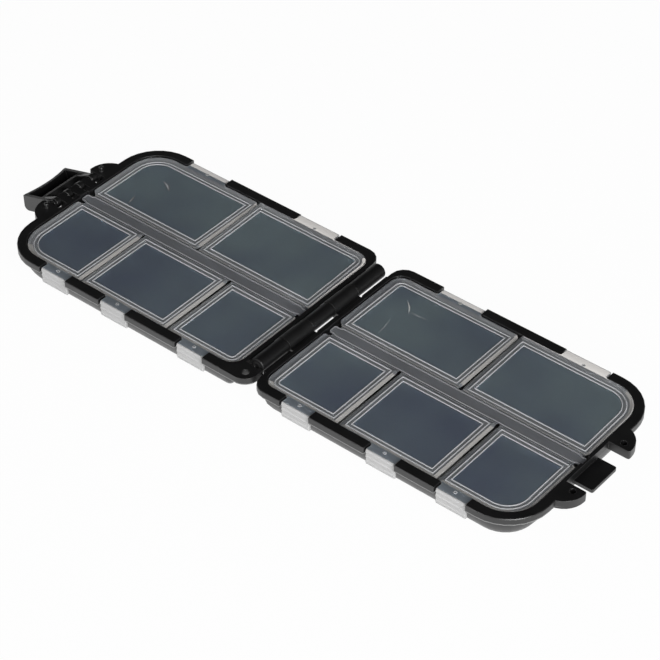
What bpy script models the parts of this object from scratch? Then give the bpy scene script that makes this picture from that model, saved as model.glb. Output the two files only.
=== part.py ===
"""Pocket tackle box: two shallow shells hinged end to end, five lidded compartments in each, and a flip latch.

The box lies open and flat. x runs along it, y along the hinge and z up from the table. The base shell is centred
on the origin and the cover lies beyond the hinge, at +x. Inside a shell, a place is given by u, its distance from
the hinge axis, so the same functions shape both shells. All lengths are in metres.
"""
import math

import bmesh
import bpy
from mathutils import Matrix, Vector

# Shells
SHELL_LENGTH = 0.1333
SHELL_WIDTH = 0.0992
SHELL_HEIGHT = 0.0170
FLANGE_HEIGHT = 0.0032
RIM_EDGE = 0.0003
LATCH_CORNER_RADIUS = 0.0200
HINGE_CORNER_RADIUS = 0.0070
BODY_CORNER_RADIUS_MIN = 0.0020
SIDE_INSET = 0.0026
LATCH_END_INSET = 0.0033
HINGE_END_INSET = 0.0022
BODY_CURVE_REACH = 0.0114
WALL = 0.0016
FLOOR = 0.0016
DIVIDER = 0.0020
SPINE_WALL = 0.0040
CELL_CORNER_RADIUS = 0.0015

# Clearances
GAP = 0.0003
SKIRT_CLEARANCE = 0.0004
TAB_CLEARANCE = 0.0004
OVERRUN = 0.0010
OVERLAP = 0.0004

# Lids
LID_DROP = 0.0013
LID_THICKNESS = 0.0012
LID_SLIT = 0.0006
WELL_START = 0.0021
WELL_END = 0.0045
WELL_SIDE = 0.0047
WELL_LATCH_RADIUS = 0.0143
WELL_HINGE_RADIUS = 0.0063
LID_SMALL_RADIUS = 0.0010
PANEL_MARGIN = 0.0041
PANEL_HINGE_SIDE_MARGIN = 0.0036
PANEL_THICKNESS = 0.0010
SKIRT_WIDTH = 0.0019
SKIRT_DEPTH = 0.0024
BEAD_WIDTH = 0.0005
BEAD_HEIGHT = 0.0003
LID_HINGE_OFFSET = 0.0038
NEAR_ROW_SPLIT_SHARES = (0.305, 0.695)
FAR_ROW_SPLIT_SHARES = (0.5035,)

# Grip tabs, which fold down outside the shell
TAB_THICKNESS = 0.0012
TAB_FACE_INSET = 0.0010
TAB_DROP = 0.0005
TAB_HEIGHT = 0.0082
TAB_EDGE_RADIUS = 0.0006
NEAR_TAB_WIDTH = 0.0144
FAR_TAB_WIDTH = 0.0222
GRIP_RIDGES = 3
GRIP_RIDGE_HEIGHT = 0.00025
NEAR_TAB_SHARES = (0.165, 0.507, 0.780)
FAR_TAB_SHARES = (0.253, 0.7525)

# Spine strip that carries the lids' folds
SPINE_END_MARGIN = 0.0024
SPINE_TONGUE_WIDTH = 0.0043
SPINE_TONGUE_REACH = 0.0008
SPINE_BAND_WIDTH = 0.0052
SPINE_BAND_HEIGHT = 0.0003

# Main hinge
HINGE_REACH = 0.0050
BARREL_RADIUS = 0.00315
BARREL_END_MARGIN = 0.0104
BARREL_END_ROUND = 0.0016
MIDDLE_KNUCKLE_LENGTH = 0.0140
SIDE_KNUCKLE_LENGTH = 0.0153
HINGE_PIN_RADIUS = 0.0010
WEB_DROP = 0.0003
WEB_THICKNESS = 0.0029

# Lanyard lug at the base's near hinge corner
LUG_REACH = 0.0037
LUG_CORNER_RADIUS = 0.0065
LUG_HOLE_RADIUS = 0.0016
LUG_HOLE_EDGE = 0.0048

# Ears, pegs and the notch between the ears
EAR_REACH = 0.0068
EAR_RADIUS = 0.0102
EAR_CORNER_RADIUS = 0.0008
EAR_CENTRE_SHIFT = 0.0016
EAR_THICKNESS = 0.0040
LATCH_NOTCH_DEPTH = 0.0028
PEG_RADIUS = 0.0011
PEG_HEIGHT = 0.0022
PEG_SIDE_INSET = 0.0030
PEG_REACH = 0.0022
PEG_CLEARANCE = 0.0003

# Catch tab on the cover
CATCH_WIDTH = 0.0167
CATCH_REACH = 0.0055
CATCH_DROP = 0.0044
CATCH_THICKNESS = 0.0016
CATCH_CORNER_RADIUS = 0.0008

# Latch lever on the base
PIVOT_REACH = 0.0027
PIVOT_DROP = 0.0014
PIVOT_RADIUS = 0.0021
LATCH_PIN_RADIUS = 0.00075
LATCH_LUG_WIDTH = 0.0042
LATCH_LUG_SPACING = 0.0074
LEVER_WIDTH = 0.0266
LEVER_SIDE_CLEARANCE = 0.0011
LEVER_LENGTH = 0.0190
LEVER_TOP = 0.0015
LEVER_DEPTH = 0.0078
LEVER_END_LEAN = 0.0014
LEVER_WALL = 0.0015
LEVER_EDGE_RADIUS = 0.0022
LEVER_SWEEP = 0.0018
LEVER_DROOP = math.radians(16)
CROSSBAR_WIDTH = 0.0014
CROSSBAR_TOP = 0.0009

# Facet counts
LARGE_CORNER_SEGMENTS = 8
SMALL_CORNER_SEGMENTS = 4
TINY_CORNER_SEGMENTS = 2
BODY_CURVE_STEPS = 6
BARREL_SEGMENTS = 24
HOLE_SEGMENTS = 16

# Places worked out from the sizes above
HALF_WIDTH = SHELL_WIDTH / 2
BARREL_LENGTH = SHELL_WIDTH - 2 * BARREL_END_MARGIN
EAR_INNER = LEVER_WIDTH / 2 + LEVER_SIDE_CLEARANCE
PEG_OFFSET = EAR_INNER + PEG_SIDE_INSET
HINGE_X = SHELL_LENGTH / 2 + HINGE_REACH
HINGE_Z = SHELL_HEIGHT + GAP / 2
RIM_START = HINGE_REACH
RIM_END = HINGE_REACH + SHELL_LENGTH
WELL_U0 = RIM_START + WELL_START
WELL_U1 = RIM_END - WELL_END
WELL_Y = HALF_WIDTH - WELL_SIDE
LID_TOP = SHELL_HEIGHT - LID_DROP
LID_BOTTOM = LID_TOP - LID_THICKNESS
LEDGE_Z = LID_BOTTOM - GAP
LID_U0 = WELL_U0 + GAP
LID_U1 = WELL_U1 - GAP
LID_Y = WELL_Y - GAP
TAB_FACE = HALF_WIDTH - TAB_FACE_INSET
TAB_TOP = SHELL_HEIGHT - TAB_DROP
CELL_Y = LID_Y - PANEL_MARGIN + SKIRT_WIDTH + SKIRT_CLEARANCE
CELL_U0 = LID_U0 + PANEL_MARGIN - SKIRT_WIDTH - SKIRT_CLEARANCE
CELL_U1 = LID_U1 - PANEL_MARGIN + SKIRT_WIDTH + SKIRT_CLEARANCE
NOTCH_U = RIM_END - LATCH_NOTCH_DEPTH
PIVOT_U = RIM_END + PIVOT_REACH
PIVOT_Z = SHELL_HEIGHT - PIVOT_DROP
HOOK_START = GAP + CATCH_DROP + CATCH_THICKNESS + PIVOT_DROP + GAP

BASE, COVER = -1, 1
NEAR, FAR = -1, 1


def clear_scene():
    for thing in list(bpy.data.objects):
        bpy.data.objects.remove(thing)


# Materials

def plastic(name, colour, roughness, alpha=1.0, metallic=0.0):
    material = bpy.data.materials.new(name)
    material.use_nodes = True
    shader = material.node_tree.nodes["Principled BSDF"]
    shader.inputs["Base Color"].default_value = (*colour, 1.0)
    shader.inputs["Roughness"].default_value = roughness
    shader.inputs["Metallic"].default_value = metallic
    shader.inputs["Alpha"].default_value = alpha
    return material


def black_plastic(name):
    return plastic(name, (0.010, 0.010, 0.011), 0.42)


def frosted_plastic(name):
    return plastic(name, (0.62, 0.64, 0.66), 0.35, alpha=0.55)


def steel(name):
    return plastic(name, (0.62, 0.62, 0.60), 0.28, metallic=1.0)


# Outlines: lists of (u, y) points

def arc(centre, radius, start, end, segments):
    """Points on an arc of a circle, its angles in degrees."""
    steps = [math.radians(start + (end - start) * i / segments) for i in range(segments + 1)]
    return [(centre[0] + radius * math.cos(a), centre[1] + radius * math.sin(a)) for a in steps]


def segments_for(radius):
    """More facets for a wider corner."""
    if radius > HINGE_CORNER_RADIUS:
        return LARGE_CORNER_SEGMENTS
    return SMALL_CORNER_SEGMENTS if radius > BODY_CORNER_RADIUS_MIN else TINY_CORNER_SEGMENTS


def rounded(u0, u1, y0, y1, radii, counts=None):
    """A rounded rectangle; radii start at (u0, y0) and go round by (u1, y0) to (u0, y1)."""
    counts = counts or [segments_for(r) for r in radii]
    corners = ((u0, y0, 180), (u1, y0, 270), (u1, y1, 0), (u0, y1, 90))
    points = []
    for (u, y, start), r, count in zip(corners, radii, counts):
        centre = (u + math.copysign(r, (u0 + u1) / 2 - u), y + math.copysign(r, (y0 + y1) / 2 - y))
        points += arc(centre, r, start, start + 90, count)
    return points


# Solids

def finish_mesh(name, mesh_builder):
    mesh = bpy.data.meshes.new(name)
    bmesh.ops.recalc_face_normals(mesh_builder, faces=mesh_builder.faces)
    mesh_builder.to_mesh(mesh)
    mesh_builder.free()
    thing = bpy.data.objects.new(name, mesh)
    bpy.context.scene.collection.objects.link(thing)
    return thing


def loft(name, rings):
    """A closed solid through rings of equal point counts, with a flat cap on the first and the last."""
    builder = bmesh.new()
    loops = [[builder.verts.new(p) for p in ring] for ring in rings]
    count = len(loops[0])
    for low, high in zip(loops, loops[1:]):
        for i in range(count):
            j = (i + 1) % count
            builder.faces.new((low[i], low[j], high[j], high[i]))
    builder.faces.new(loops[0])
    builder.faces.new(loops[-1])
    return finish_mesh(name, builder)


def prism_up(name, side, outline, z0, z1):
    """An outline in u and y, raised from z0 to z1."""
    return loft(name, [[(HINGE_X + side * u, y, z) for u, y in outline] for z in (z0, z1)])


def prism_across(name, side, profile, y0, y1):
    """A profile in u and z, drawn out along y."""
    return loft(name, [[(HINGE_X + side * u, y, z) for u, z in profile] for y in (y0, y1)])


def prism_along(name, side, profile, u0, u1):
    """A profile in y and z, drawn out along u."""
    return loft(name, [[(HINGE_X + side * u, y, z) for y, z in profile] for u in (u0, u1)])


def turned(name, centre, stations, segments):
    """A solid of revolution about y; each station is a place along y and a radius."""
    x, z = centre
    circle = arc((0, 0), 1, 0, 360, segments)[:-1]
    return loft(name, [[(x + r * c, y, z + r * s) for c, s in circle] for y, r in stations])


def post(name, centre, stations, segments):
    """A solid of revolution about z; each station is a height and a radius."""
    x, y = centre
    circle = arc((0, 0), 1, 0, 360, segments)[:-1]
    return loft(name, [[(x + r * c, y + r * s, z) for c, s in circle] for z, r in stations])


def combine(target, tool, operation):
    """Applies one exact Boolean and removes its tool."""
    modifier = target.modifiers.new(operation.title(), "BOOLEAN")
    modifier.operation = operation
    modifier.solver = "EXACT"
    modifier.object = tool
    view = bpy.context.evaluated_depsgraph_get()
    old = target.data
    target.data = bpy.data.meshes.new_from_object(target.evaluated_get(view))
    target.modifiers.clear()
    bpy.data.meshes.remove(old)
    bpy.data.objects.remove(tool)


def join(target, *tools):
    for tool in tools:
        combine(target, tool, "UNION")


def cut(target, *tools):
    for tool in tools:
        combine(target, tool, "DIFFERENCE")


def keep_inside(target, tool):
    combine(target, tool, "INTERSECT")


def dress(thing, name, material, origin):
    """Names a finished piece, gives it its material and puts its origin where it turns."""
    thing.name = name
    thing.data.name = name
    thing.data.materials.clear()
    thing.data.materials.append(material)
    thing.data.transform(Matrix.Translation(-Vector(origin)))
    thing.location = origin
    return thing


def hang(child, parent):
    """Parents a piece without moving it."""
    bpy.context.view_layer.update()
    child.parent = parent
    child.matrix_parent_inverse = parent.matrix_world.inverted()


# Shell body

def body_ring(side, z, side_inset, latch_inset, hinge_inset):
    """The shell's outline at one height, drawn in by an inset on each side."""
    latch_radius = max(LATCH_CORNER_RADIUS - max(side_inset, latch_inset), BODY_CORNER_RADIUS_MIN)
    hinge_radius = max(HINGE_CORNER_RADIUS - max(side_inset, hinge_inset), BODY_CORNER_RADIUS_MIN)
    outline = rounded(
        RIM_START + hinge_inset, RIM_END - latch_inset, -HALF_WIDTH + side_inset, HALF_WIDTH - side_inset,
        (hinge_radius, latch_radius, latch_radius, hinge_radius),
        (SMALL_CORNER_SEGMENTS, LARGE_CORNER_SEGMENTS, LARGE_CORNER_SEGMENTS, SMALL_CORNER_SEGMENTS),
    )
    return [(HINGE_X + side * u, y, z) for u, y in outline]


def curved_rings(side, floor_z, top_z, wall):
    """Rings of a tub whose sides curve in to a flat floor, a quarter ellipse in section."""
    rings = []
    for step in range(BODY_CURVE_STEPS + 1):
        angle = math.pi / 2 * (1 - step / BODY_CURVE_STEPS)
        reach = wall + BODY_CURVE_REACH * (1 - math.cos(angle))
        z = top_z - (top_z - floor_z) * math.sin(angle)
        rings.append(body_ring(side, z, SIDE_INSET + reach, LATCH_END_INSET + reach, HINGE_END_INSET + reach))
    return rings


def shell_block(name, side):
    """The shell's outer form: a curved tub under a wider flange with a broken top edge."""
    flange_z = SHELL_HEIGHT - FLANGE_HEIGHT
    rings = curved_rings(side, 0, flange_z, 0)
    rings.append(body_ring(side, flange_z, 0, 0, 0))
    rings.append(body_ring(side, SHELL_HEIGHT - RIM_EDGE, 0, 0, 0))
    rings.append(body_ring(side, SHELL_HEIGHT, RIM_EDGE, RIM_EDGE, RIM_EDGE))
    return loft(name, rings)


def row_edges(row):
    """Where the lids of one row start and end along u, slits left out."""
    shares = NEAR_ROW_SPLIT_SHARES if row == NEAR else FAR_ROW_SPLIT_SHARES
    slits = [WELL_U0 + (WELL_U1 - WELL_U0) * share for share in shares]
    starts = [LID_U0] + [slit + LID_SLIT / 2 for slit in slits]
    ends = [slit - LID_SLIT / 2 for slit in slits] + [LID_U1]
    return list(zip(starts, ends))


def cell_outline(row, u0, u1):
    """One compartment seen from above; its sides stand on the dividers' faces."""
    half_divider = (DIVIDER - LID_SLIT) / 2
    first = u0 == LID_U0
    last = u1 == LID_U1
    start = CELL_U0 if first else u0 + half_divider
    end = CELL_U1 if last else u1 - half_divider
    corner = WELL_LATCH_RADIUS - PANEL_MARGIN
    outer = (HINGE_CORNER_RADIUS / 2 if first else CELL_CORNER_RADIUS, corner if last else CELL_CORNER_RADIUS)
    inner = (CELL_CORNER_RADIUS, CELL_CORNER_RADIUS)
    if row == NEAR:
        return rounded(start, end, -CELL_Y, -SPINE_WALL / 2, (*outer, *inner))
    return rounded(start, end, SPINE_WALL / 2, CELL_Y, (*inner, outer[1], outer[0]))


def cut_compartments(shell, side):
    """Hollows the shell into its compartments, which all share the tub's curved sides and floor."""
    for row in (NEAR, FAR):
        for u0, u1 in row_edges(row):
            rings = curved_rings(side, FLOOR, SHELL_HEIGHT - FLANGE_HEIGHT, WALL)
            reach = WALL
            rings.append(body_ring(
                side, SHELL_HEIGHT + OVERRUN, SIDE_INSET + reach, LATCH_END_INSET + reach, HINGE_END_INSET + reach
            ))
            hollow = loft("hollow", rings)
            cell = prism_up("cell", side, cell_outline(row, u0, u1), 0, SHELL_HEIGHT)
            keep_inside(hollow, cell)
            cut(shell, hollow)


def cut_lid_well(shell, side):
    """The recess that the lids and the spine strip lie in."""
    radii = (WELL_HINGE_RADIUS, WELL_LATCH_RADIUS, WELL_LATCH_RADIUS, WELL_HINGE_RADIUS)
    outline = rounded(WELL_U0, WELL_U1, -WELL_Y, WELL_Y, radii)
    cut(shell, prism_up("well", side, outline, LEDGE_Z, SHELL_HEIGHT + OVERRUN))
    reach = LID_U1 + SPINE_TONGUE_REACH + GAP
    half = SPINE_TONGUE_WIDTH / 2 + GAP
    slot = [(WELL_U1 - OVERRUN, -half), (reach, -half), (reach, half), (WELL_U1 - OVERRUN, half)]
    cut(shell, prism_up("tongue_slot", side, slot, LEDGE_Z, SHELL_HEIGHT + OVERRUN))


def tab_places():
    """Row, centre and width of each grip tab, from the hinge outwards."""
    length = LID_U1 - LID_U0
    near = [(NEAR, LID_U0 + length * share, NEAR_TAB_WIDTH) for share in NEAR_TAB_SHARES]
    far = [(FAR, LID_U0 + length * share, FAR_TAB_WIDTH) for share in FAR_TAB_SHARES]
    return near + far


def cut_tab_notches(shell, side):
    """Gaps in the rim through which the grip tabs fold down."""
    inside = WELL_Y - OVERRUN
    outside = HALF_WIDTH + OVERRUN
    back = TAB_FACE - TAB_THICKNESS - TAB_CLEARANCE
    below = SHELL_HEIGHT - FLANGE_HEIGHT - OVERRUN
    above = SHELL_HEIGHT + OVERRUN
    for row, centre, width in tab_places():
        half = width / 2 + TAB_CLEARANCE
        profile = [(inside, LEDGE_Z), (back, LEDGE_Z), (back, below), (outside, below), (outside, above),
                   (inside, above)]
        profile = [(row * y, z) for y, z in profile]
        cut(shell, prism_along("tab_notch", side, profile, centre - half, centre + half))


# Latch end of the shells

def ear_outline(hand):
    """A rounded ear beside the latch; hand is NEAR or FAR."""
    corner = (RIM_END + EAR_REACH - EAR_CORNER_RADIUS, EAR_INNER + EAR_CORNER_RADIUS)
    centre = (RIM_END + EAR_REACH - EAR_RADIUS, EAR_INNER + EAR_CENTRE_SHIFT)
    root = WELL_U1 + OVERRUN
    end = math.degrees(math.acos((root - centre[0]) / EAR_RADIUS))
    outline = [(root, EAR_INNER)]
    outline += arc(corner, EAR_CORNER_RADIUS, -90, 0, TINY_CORNER_SEGMENTS)
    outline += arc(centre, EAR_RADIUS, 0, end, LARGE_CORNER_SEGMENTS)
    return [(u, hand * y) for u, y in outline]


def add_ears(shell, side):
    for hand in (NEAR, FAR):
        ear = prism_up("ear", side, ear_outline(hand), SHELL_HEIGHT - EAR_THICKNESS, SHELL_HEIGHT)
        join(shell, ear)


def cut_latch_notch(shell, side):
    """Draws the rim back between the ears, flush with the body's end wall."""
    low = SHELL_HEIGHT - FLANGE_HEIGHT - OVERRUN
    out = RIM_END + OVERRUN
    outline = [(NOTCH_U, -EAR_INNER), (out, -EAR_INNER), (out, EAR_INNER), (NOTCH_U, EAR_INNER)]
    cut(shell, prism_up("latch_notch", side, outline, low, SHELL_HEIGHT + OVERRUN))


def peg_centres(side):
    x = HINGE_X + side * (RIM_END + PEG_REACH)
    return [(x, hand * PEG_OFFSET) for hand in (NEAR, FAR)]


def add_pegs(shell):
    """Pegs on the base's ears that centre the closed cover."""
    top = SHELL_HEIGHT + PEG_HEIGHT
    for centre in peg_centres(BASE):
        stations = [(SHELL_HEIGHT - OVERLAP, PEG_RADIUS), (top - PEG_RADIUS / 2, PEG_RADIUS),
                    (top - PEG_RADIUS / 6, PEG_RADIUS * 3 / 4), (top, PEG_RADIUS / 3)]
        join(shell, post("peg", centre, stations, HOLE_SEGMENTS))


def cut_peg_holes(shell):
    radius = PEG_RADIUS + PEG_CLEARANCE
    for centre in peg_centres(COVER):
        stations = [(SHELL_HEIGHT - EAR_THICKNESS - OVERRUN, radius), (SHELL_HEIGHT + OVERRUN, radius)]
        cut(shell, post("peg_hole", centre, stations, HOLE_SEGMENTS))


def add_catch(shell):
    """The flat catch tab that the lever's crossbar drops behind."""
    top = SHELL_HEIGHT - CATCH_DROP
    root = NOTCH_U - WALL
    half = CATCH_WIDTH / 2
    radii = (CATCH_CORNER_RADIUS,) * 4
    outline = rounded(root, RIM_END + CATCH_REACH, -half, half, radii)
    join(shell, prism_up("catch", COVER, outline, top - CATCH_THICKNESS, top))


def latch_lug_places():
    return [i * LATCH_LUG_SPACING for i in (-1, 0, 1)]


def add_latch_lugs(shell):
    """Three lugs that reach out of the end wall and carry the lever's pin."""
    root = NOTCH_U - OVERLAP
    deep = NOTCH_U - WALL
    top = SHELL_HEIGHT - RIM_EDGE
    low = PIVOT_Z - PIVOT_RADIUS
    flange_z = SHELL_HEIGHT - FLANGE_HEIGHT
    profile = [(deep, low - PIVOT_RADIUS), (deep, flange_z), (root, flange_z), (root, top)]
    profile += arc((PIVOT_U, PIVOT_Z), PIVOT_RADIUS, 40, -90, LARGE_CORNER_SEGMENTS)
    profile += [(PIVOT_U - PIVOT_RADIUS, low)]
    for y in latch_lug_places():
        half = LATCH_LUG_WIDTH / 2
        join(shell, prism_across("latch_lug", BASE, profile, y - half, y + half))
    bore = LATCH_PIN_RADIUS + GAP
    centre = (HINGE_X - PIVOT_U, PIVOT_Z)
    stations = [(-LEVER_WIDTH / 2, bore), (LEVER_WIDTH / 2, bore)]
    cut(shell, turned("latch_bore", centre, stations, HOLE_SEGMENTS))


# Main hinge

def knuckle_spans(side):
    """Ends along y of the knuckles of one shell, and whether each end is a rounded outer end."""
    middle = MIDDLE_KNUCKLE_LENGTH / 2
    outer = middle + SIDE_KNUCKLE_LENGTH
    tip = BARREL_LENGTH / 2
    slack = GAP / 2
    if side == BASE:
        return [(-tip, -outer - slack), (-middle + slack, middle - slack), (outer + slack, tip)]
    return [(-outer + slack, -middle - slack), (middle + slack, outer - slack)]


def barrel_stations(y0, y1):
    """Stations of one knuckle, rounded where it ends the barrel."""
    tip = BARREL_LENGTH / 2
    rounding = arc((0, 0), BARREL_END_ROUND, 0, 90, SMALL_CORNER_SEGMENTS)
    core = BARREL_RADIUS - BARREL_END_ROUND
    low = [(y0, BARREL_RADIUS)]
    high = [(y1, BARREL_RADIUS)]
    if y0 == -tip:
        low = [(-tip + BARREL_END_ROUND - along, core + across) for along, across in rounding]
    if y1 == tip:
        high = [(tip - BARREL_END_ROUND + along, core + across) for along, across in reversed(rounding)]
    return low + high


def add_knuckles(shell, side):
    """Knuckles on webs that reach from the rim to the hinge axis."""
    top = SHELL_HEIGHT - WEB_DROP
    profile = [(0, top), (RIM_START + OVERLAP, top), (RIM_START + OVERLAP, top - WEB_THICKNESS),
               (0, top - WEB_THICKNESS)]
    for y0, y1 in knuckle_spans(side):
        knuckle = turned("knuckle", (HINGE_X, HINGE_Z), barrel_stations(y0, y1), BARREL_SEGMENTS)
        web0 = max(y0, -BARREL_LENGTH / 2 + BARREL_END_ROUND)
        web1 = min(y1, BARREL_LENGTH / 2 - BARREL_END_ROUND)
        join(knuckle, prism_across("web", side, profile, web0, web1))
        join(shell, knuckle)
    bore = HINGE_PIN_RADIUS + GAP
    stations = [(-BARREL_LENGTH / 2 - OVERRUN, bore), (BARREL_LENGTH / 2 - WALL, bore)]
    cut(shell, turned("hinge_bore", (HINGE_X, HINGE_Z), stations, HOLE_SEGMENTS))


def add_lanyard_lug(shell):
    """The base's near corner, carried past the hinge axis and drilled for a cord."""
    inner = -BARREL_LENGTH / 2 - GAP
    root = RIM_START + LUG_CORNER_RADIUS
    outline = [(root, -HALF_WIDTH)]
    centre = (LUG_CORNER_RADIUS - LUG_REACH, -HALF_WIDTH + LUG_CORNER_RADIUS)
    outline += arc(centre, LUG_CORNER_RADIUS, 270, 180, LARGE_CORNER_SEGMENTS)
    outline += [(-LUG_REACH, inner), (RIM_START + OVERLAP, inner), (root, -HALF_WIDTH + LUG_CORNER_RADIUS)]
    join(shell, prism_up("lug", BASE, outline, SHELL_HEIGHT - FLANGE_HEIGHT, SHELL_HEIGHT))
    hole = (HINGE_X - (LUG_HOLE_EDGE - LUG_REACH), -HALF_WIDTH + LUG_HOLE_EDGE)
    stations = [(SHELL_HEIGHT - FLANGE_HEIGHT - OVERRUN, LUG_HOLE_RADIUS), (SHELL_HEIGHT + OVERRUN, LUG_HOLE_RADIUS)]
    cut(shell, post("lug_hole", hole, stations, HOLE_SEGMENTS))


def make_shell(name, side):
    """One half of the box, less its lids."""
    shell = shell_block(name, side)
    if side == BASE:
        add_lanyard_lug(shell)
    add_ears(shell, side)
    cut_latch_notch(shell, side)
    cut_lid_well(shell, side)
    cut_compartments(shell, side)
    cut_tab_notches(shell, side)
    if side == BASE:
        add_pegs(shell)
        add_latch_lugs(shell)
    else:
        cut_peg_holes(shell)
        add_catch(shell)
    add_knuckles(shell, side)
    return shell


# Lids

def lid_radii(u0, u1):
    """Corner radii of a lid at its outer side: start, end."""
    start = WELL_HINGE_RADIUS - GAP if u0 == LID_U0 else LID_SMALL_RADIUS
    end = WELL_LATCH_RADIUS - GAP if u1 == LID_U1 else LID_SMALL_RADIUS
    return start, end


def lid_ring(side, row, u0, u1, inset, z):
    """A lid's outline, drawn in by an inset; the margin at the fold is the narrower one."""
    fold_inset = inset * PANEL_HINGE_SIDE_MARGIN / PANEL_MARGIN
    start, end = lid_radii(u0, u1)
    outer = [max(start - inset, LID_SMALL_RADIUS / 2), max(end - inset, LID_SMALL_RADIUS / 2)]
    inner = [LID_SMALL_RADIUS / 2] * 2
    counts = [segments_for(start), segments_for(end)]
    y_fold = LID_HINGE_OFFSET + GAP / 2 + fold_inset
    y_out = LID_Y - inset
    tiny = [TINY_CORNER_SEGMENTS] * 2
    if row == NEAR:
        outline = rounded(u0 + inset, u1 - inset, -y_out, -y_fold, (*outer, *inner), (*counts, *tiny))
    else:
        outline = rounded(u0 + inset, u1 - inset, y_fold, y_out, (*inner, *outer[::-1]), (*tiny, *counts[::-1]))
    return [(HINGE_X + side * u, y, z) for u, y in outline]


def lid_plate(name, side, row, u0, u1):
    """Flange, two thin beads and panel above, and the plug skirt below, as one loft of rings."""
    skirt_out = PANEL_MARGIN - SKIRT_WIDTH
    skirt_in = PANEL_MARGIN
    panel_bottom = LID_TOP - PANEL_THICKNESS
    skirt_bottom = LID_BOTTOM - SKIRT_DEPTH
    bead_top = LID_TOP + BEAD_HEIGHT
    half_bead = BEAD_WIDTH / 2
    steps = [(skirt_in, panel_bottom), (skirt_in, skirt_bottom), (skirt_out, skirt_bottom), (skirt_out, LID_BOTTOM),
             (0, LID_BOTTOM), (0, LID_TOP)]
    for middle in (skirt_out, skirt_in):
        steps += [(middle - half_bead, LID_TOP), (middle - half_bead, bead_top), (middle + half_bead, bead_top),
                  (middle + half_bead, LID_TOP)]
    return loft(name, [lid_ring(side, row, u0, u1, inset, z) for inset, z in steps])


def tab_profile():
    """The grip tab in y and z: a step up from the lid, a fold and a face with grip ridges."""
    back = TAB_FACE - TAB_THICKNESS
    bottom = TAB_TOP - TAB_HEIGHT
    root = LID_Y - OVERLAP
    fold = arc((TAB_FACE - TAB_EDGE_RADIUS, TAB_TOP - TAB_EDGE_RADIUS), TAB_EDGE_RADIUS, 90, 0, TINY_CORNER_SEGMENTS)
    profile = [(root, LID_BOTTOM + OVERLAP / 2), (back, LID_BOTTOM + OVERLAP / 2), (back, bottom), (TAB_FACE, bottom)]
    pitch = (TAB_HEIGHT - TAB_EDGE_RADIUS) / (2 * GRIP_RIDGES + 1)
    for ridge in range(GRIP_RIDGES):
        z = bottom + pitch * (2 * ridge + 1)
        profile += [(TAB_FACE, z), (TAB_FACE + GRIP_RIDGE_HEIGHT, z + pitch / 4),
                    (TAB_FACE + GRIP_RIDGE_HEIGHT, z + pitch * 3 / 4), (TAB_FACE, z + pitch)]
    profile += fold[::-1]
    return profile + [(WELL_Y + OVERLAP, TAB_TOP), (root, LID_TOP - OVERLAP / 2)]


def make_lid(name, side, row, u0, u1, centre, width):
    lid = lid_plate(name, side, row, u0, u1)
    profile = [(row * y, z) for y, z in tab_profile()]
    join(lid, prism_along("tab", side, profile, centre - width / 2, centre + width / 2))
    return lid


def make_spine(name, side):
    """The strip between the two rows of lids, with a raised band and a tongue at each end."""
    start = LID_U0 + SPINE_END_MARGIN
    end = LID_U1 - SPINE_END_MARGIN
    half = LID_HINGE_OFFSET - GAP / 2
    small = (LID_SMALL_RADIUS / 2,) * 4
    strip = prism_up(name, side, rounded(start, end, -half, half, small), LID_BOTTOM, LID_TOP)
    tongue = SPINE_TONGUE_WIDTH / 2
    ends = (tongue / 2,) * 4
    outline = rounded(LID_U0, LID_U1 + SPINE_TONGUE_REACH, -tongue, tongue, ends)
    join(strip, prism_up("tongue", side, outline, LID_BOTTOM, LID_TOP - OVERLAP / 2))
    band = SPINE_BAND_WIDTH / 2
    outline = rounded(start + OVERLAP, end - OVERLAP, -band, band, small)
    join(strip, prism_up("band", side, outline, LID_TOP - OVERLAP, LID_TOP + SPINE_BAND_HEIGHT))
    return strip


# Latch lever: its profiles are drawn at rest, s along the lever and n towards its open side

def lever_point(s, n):
    """Turns a lever place into u and z, drooping by the rest angle."""
    u = PIVOT_U + s * math.cos(LEVER_DROOP) + n * math.sin(LEVER_DROOP)
    z = PIVOT_Z - s * math.sin(LEVER_DROOP) + n * math.cos(LEVER_DROOP)
    return u, z


def lever_prism(name, profile, y0, y1):
    return prism_across(name, BASE, [lever_point(s, n) for s, n in profile], y0, y1)


def lever_end_points(inset):
    """The lever's outer end and its corner to the underside, drawn in by an inset."""
    bottom = LEVER_TOP - LEVER_DEPTH + inset
    end = LEVER_LENGTH + LEVER_END_LEAN - inset
    radius = LEVER_EDGE_RADIUS - inset / 2
    corner = arc((end - radius, bottom + radius), radius, 0, -90, SMALL_CORNER_SEGMENTS)
    return [(LEVER_LENGTH - inset, LEVER_TOP)] + corner


def lever_side():
    """The whole side: from the knuckle along the top edge, round the end and back under."""
    bottom = LEVER_TOP - LEVER_DEPTH
    knuckle = arc((0, 0), PIVOT_RADIUS, 225, 100, SMALL_CORNER_SEGMENTS)
    return knuckle + [(PIVOT_RADIUS, LEVER_TOP)] + lever_end_points(0) + [
        (HOOK_START - 2 * PIVOT_RADIUS, bottom), (PIVOT_RADIUS, bottom + PIVOT_RADIUS)]


def lever_arm():
    """A knuckle and the strap that ties it to the underside, below the path of the catch."""
    bottom = LEVER_TOP - LEVER_DEPTH + OVERLAP / 2
    skin = bottom + LEVER_WALL - OVERLAP
    root = HOOK_START - PIVOT_RADIUS
    knuckle = arc((0, 0), PIVOT_RADIUS - OVERLAP / 4, 225, 20, LARGE_CORNER_SEGMENTS)
    return knuckle + [(root, skin), (root + LEVER_WALL, skin), (root + LEVER_WALL, bottom),
                      (root - PIVOT_RADIUS, bottom), (PIVOT_RADIUS, bottom + PIVOT_RADIUS)]


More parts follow.
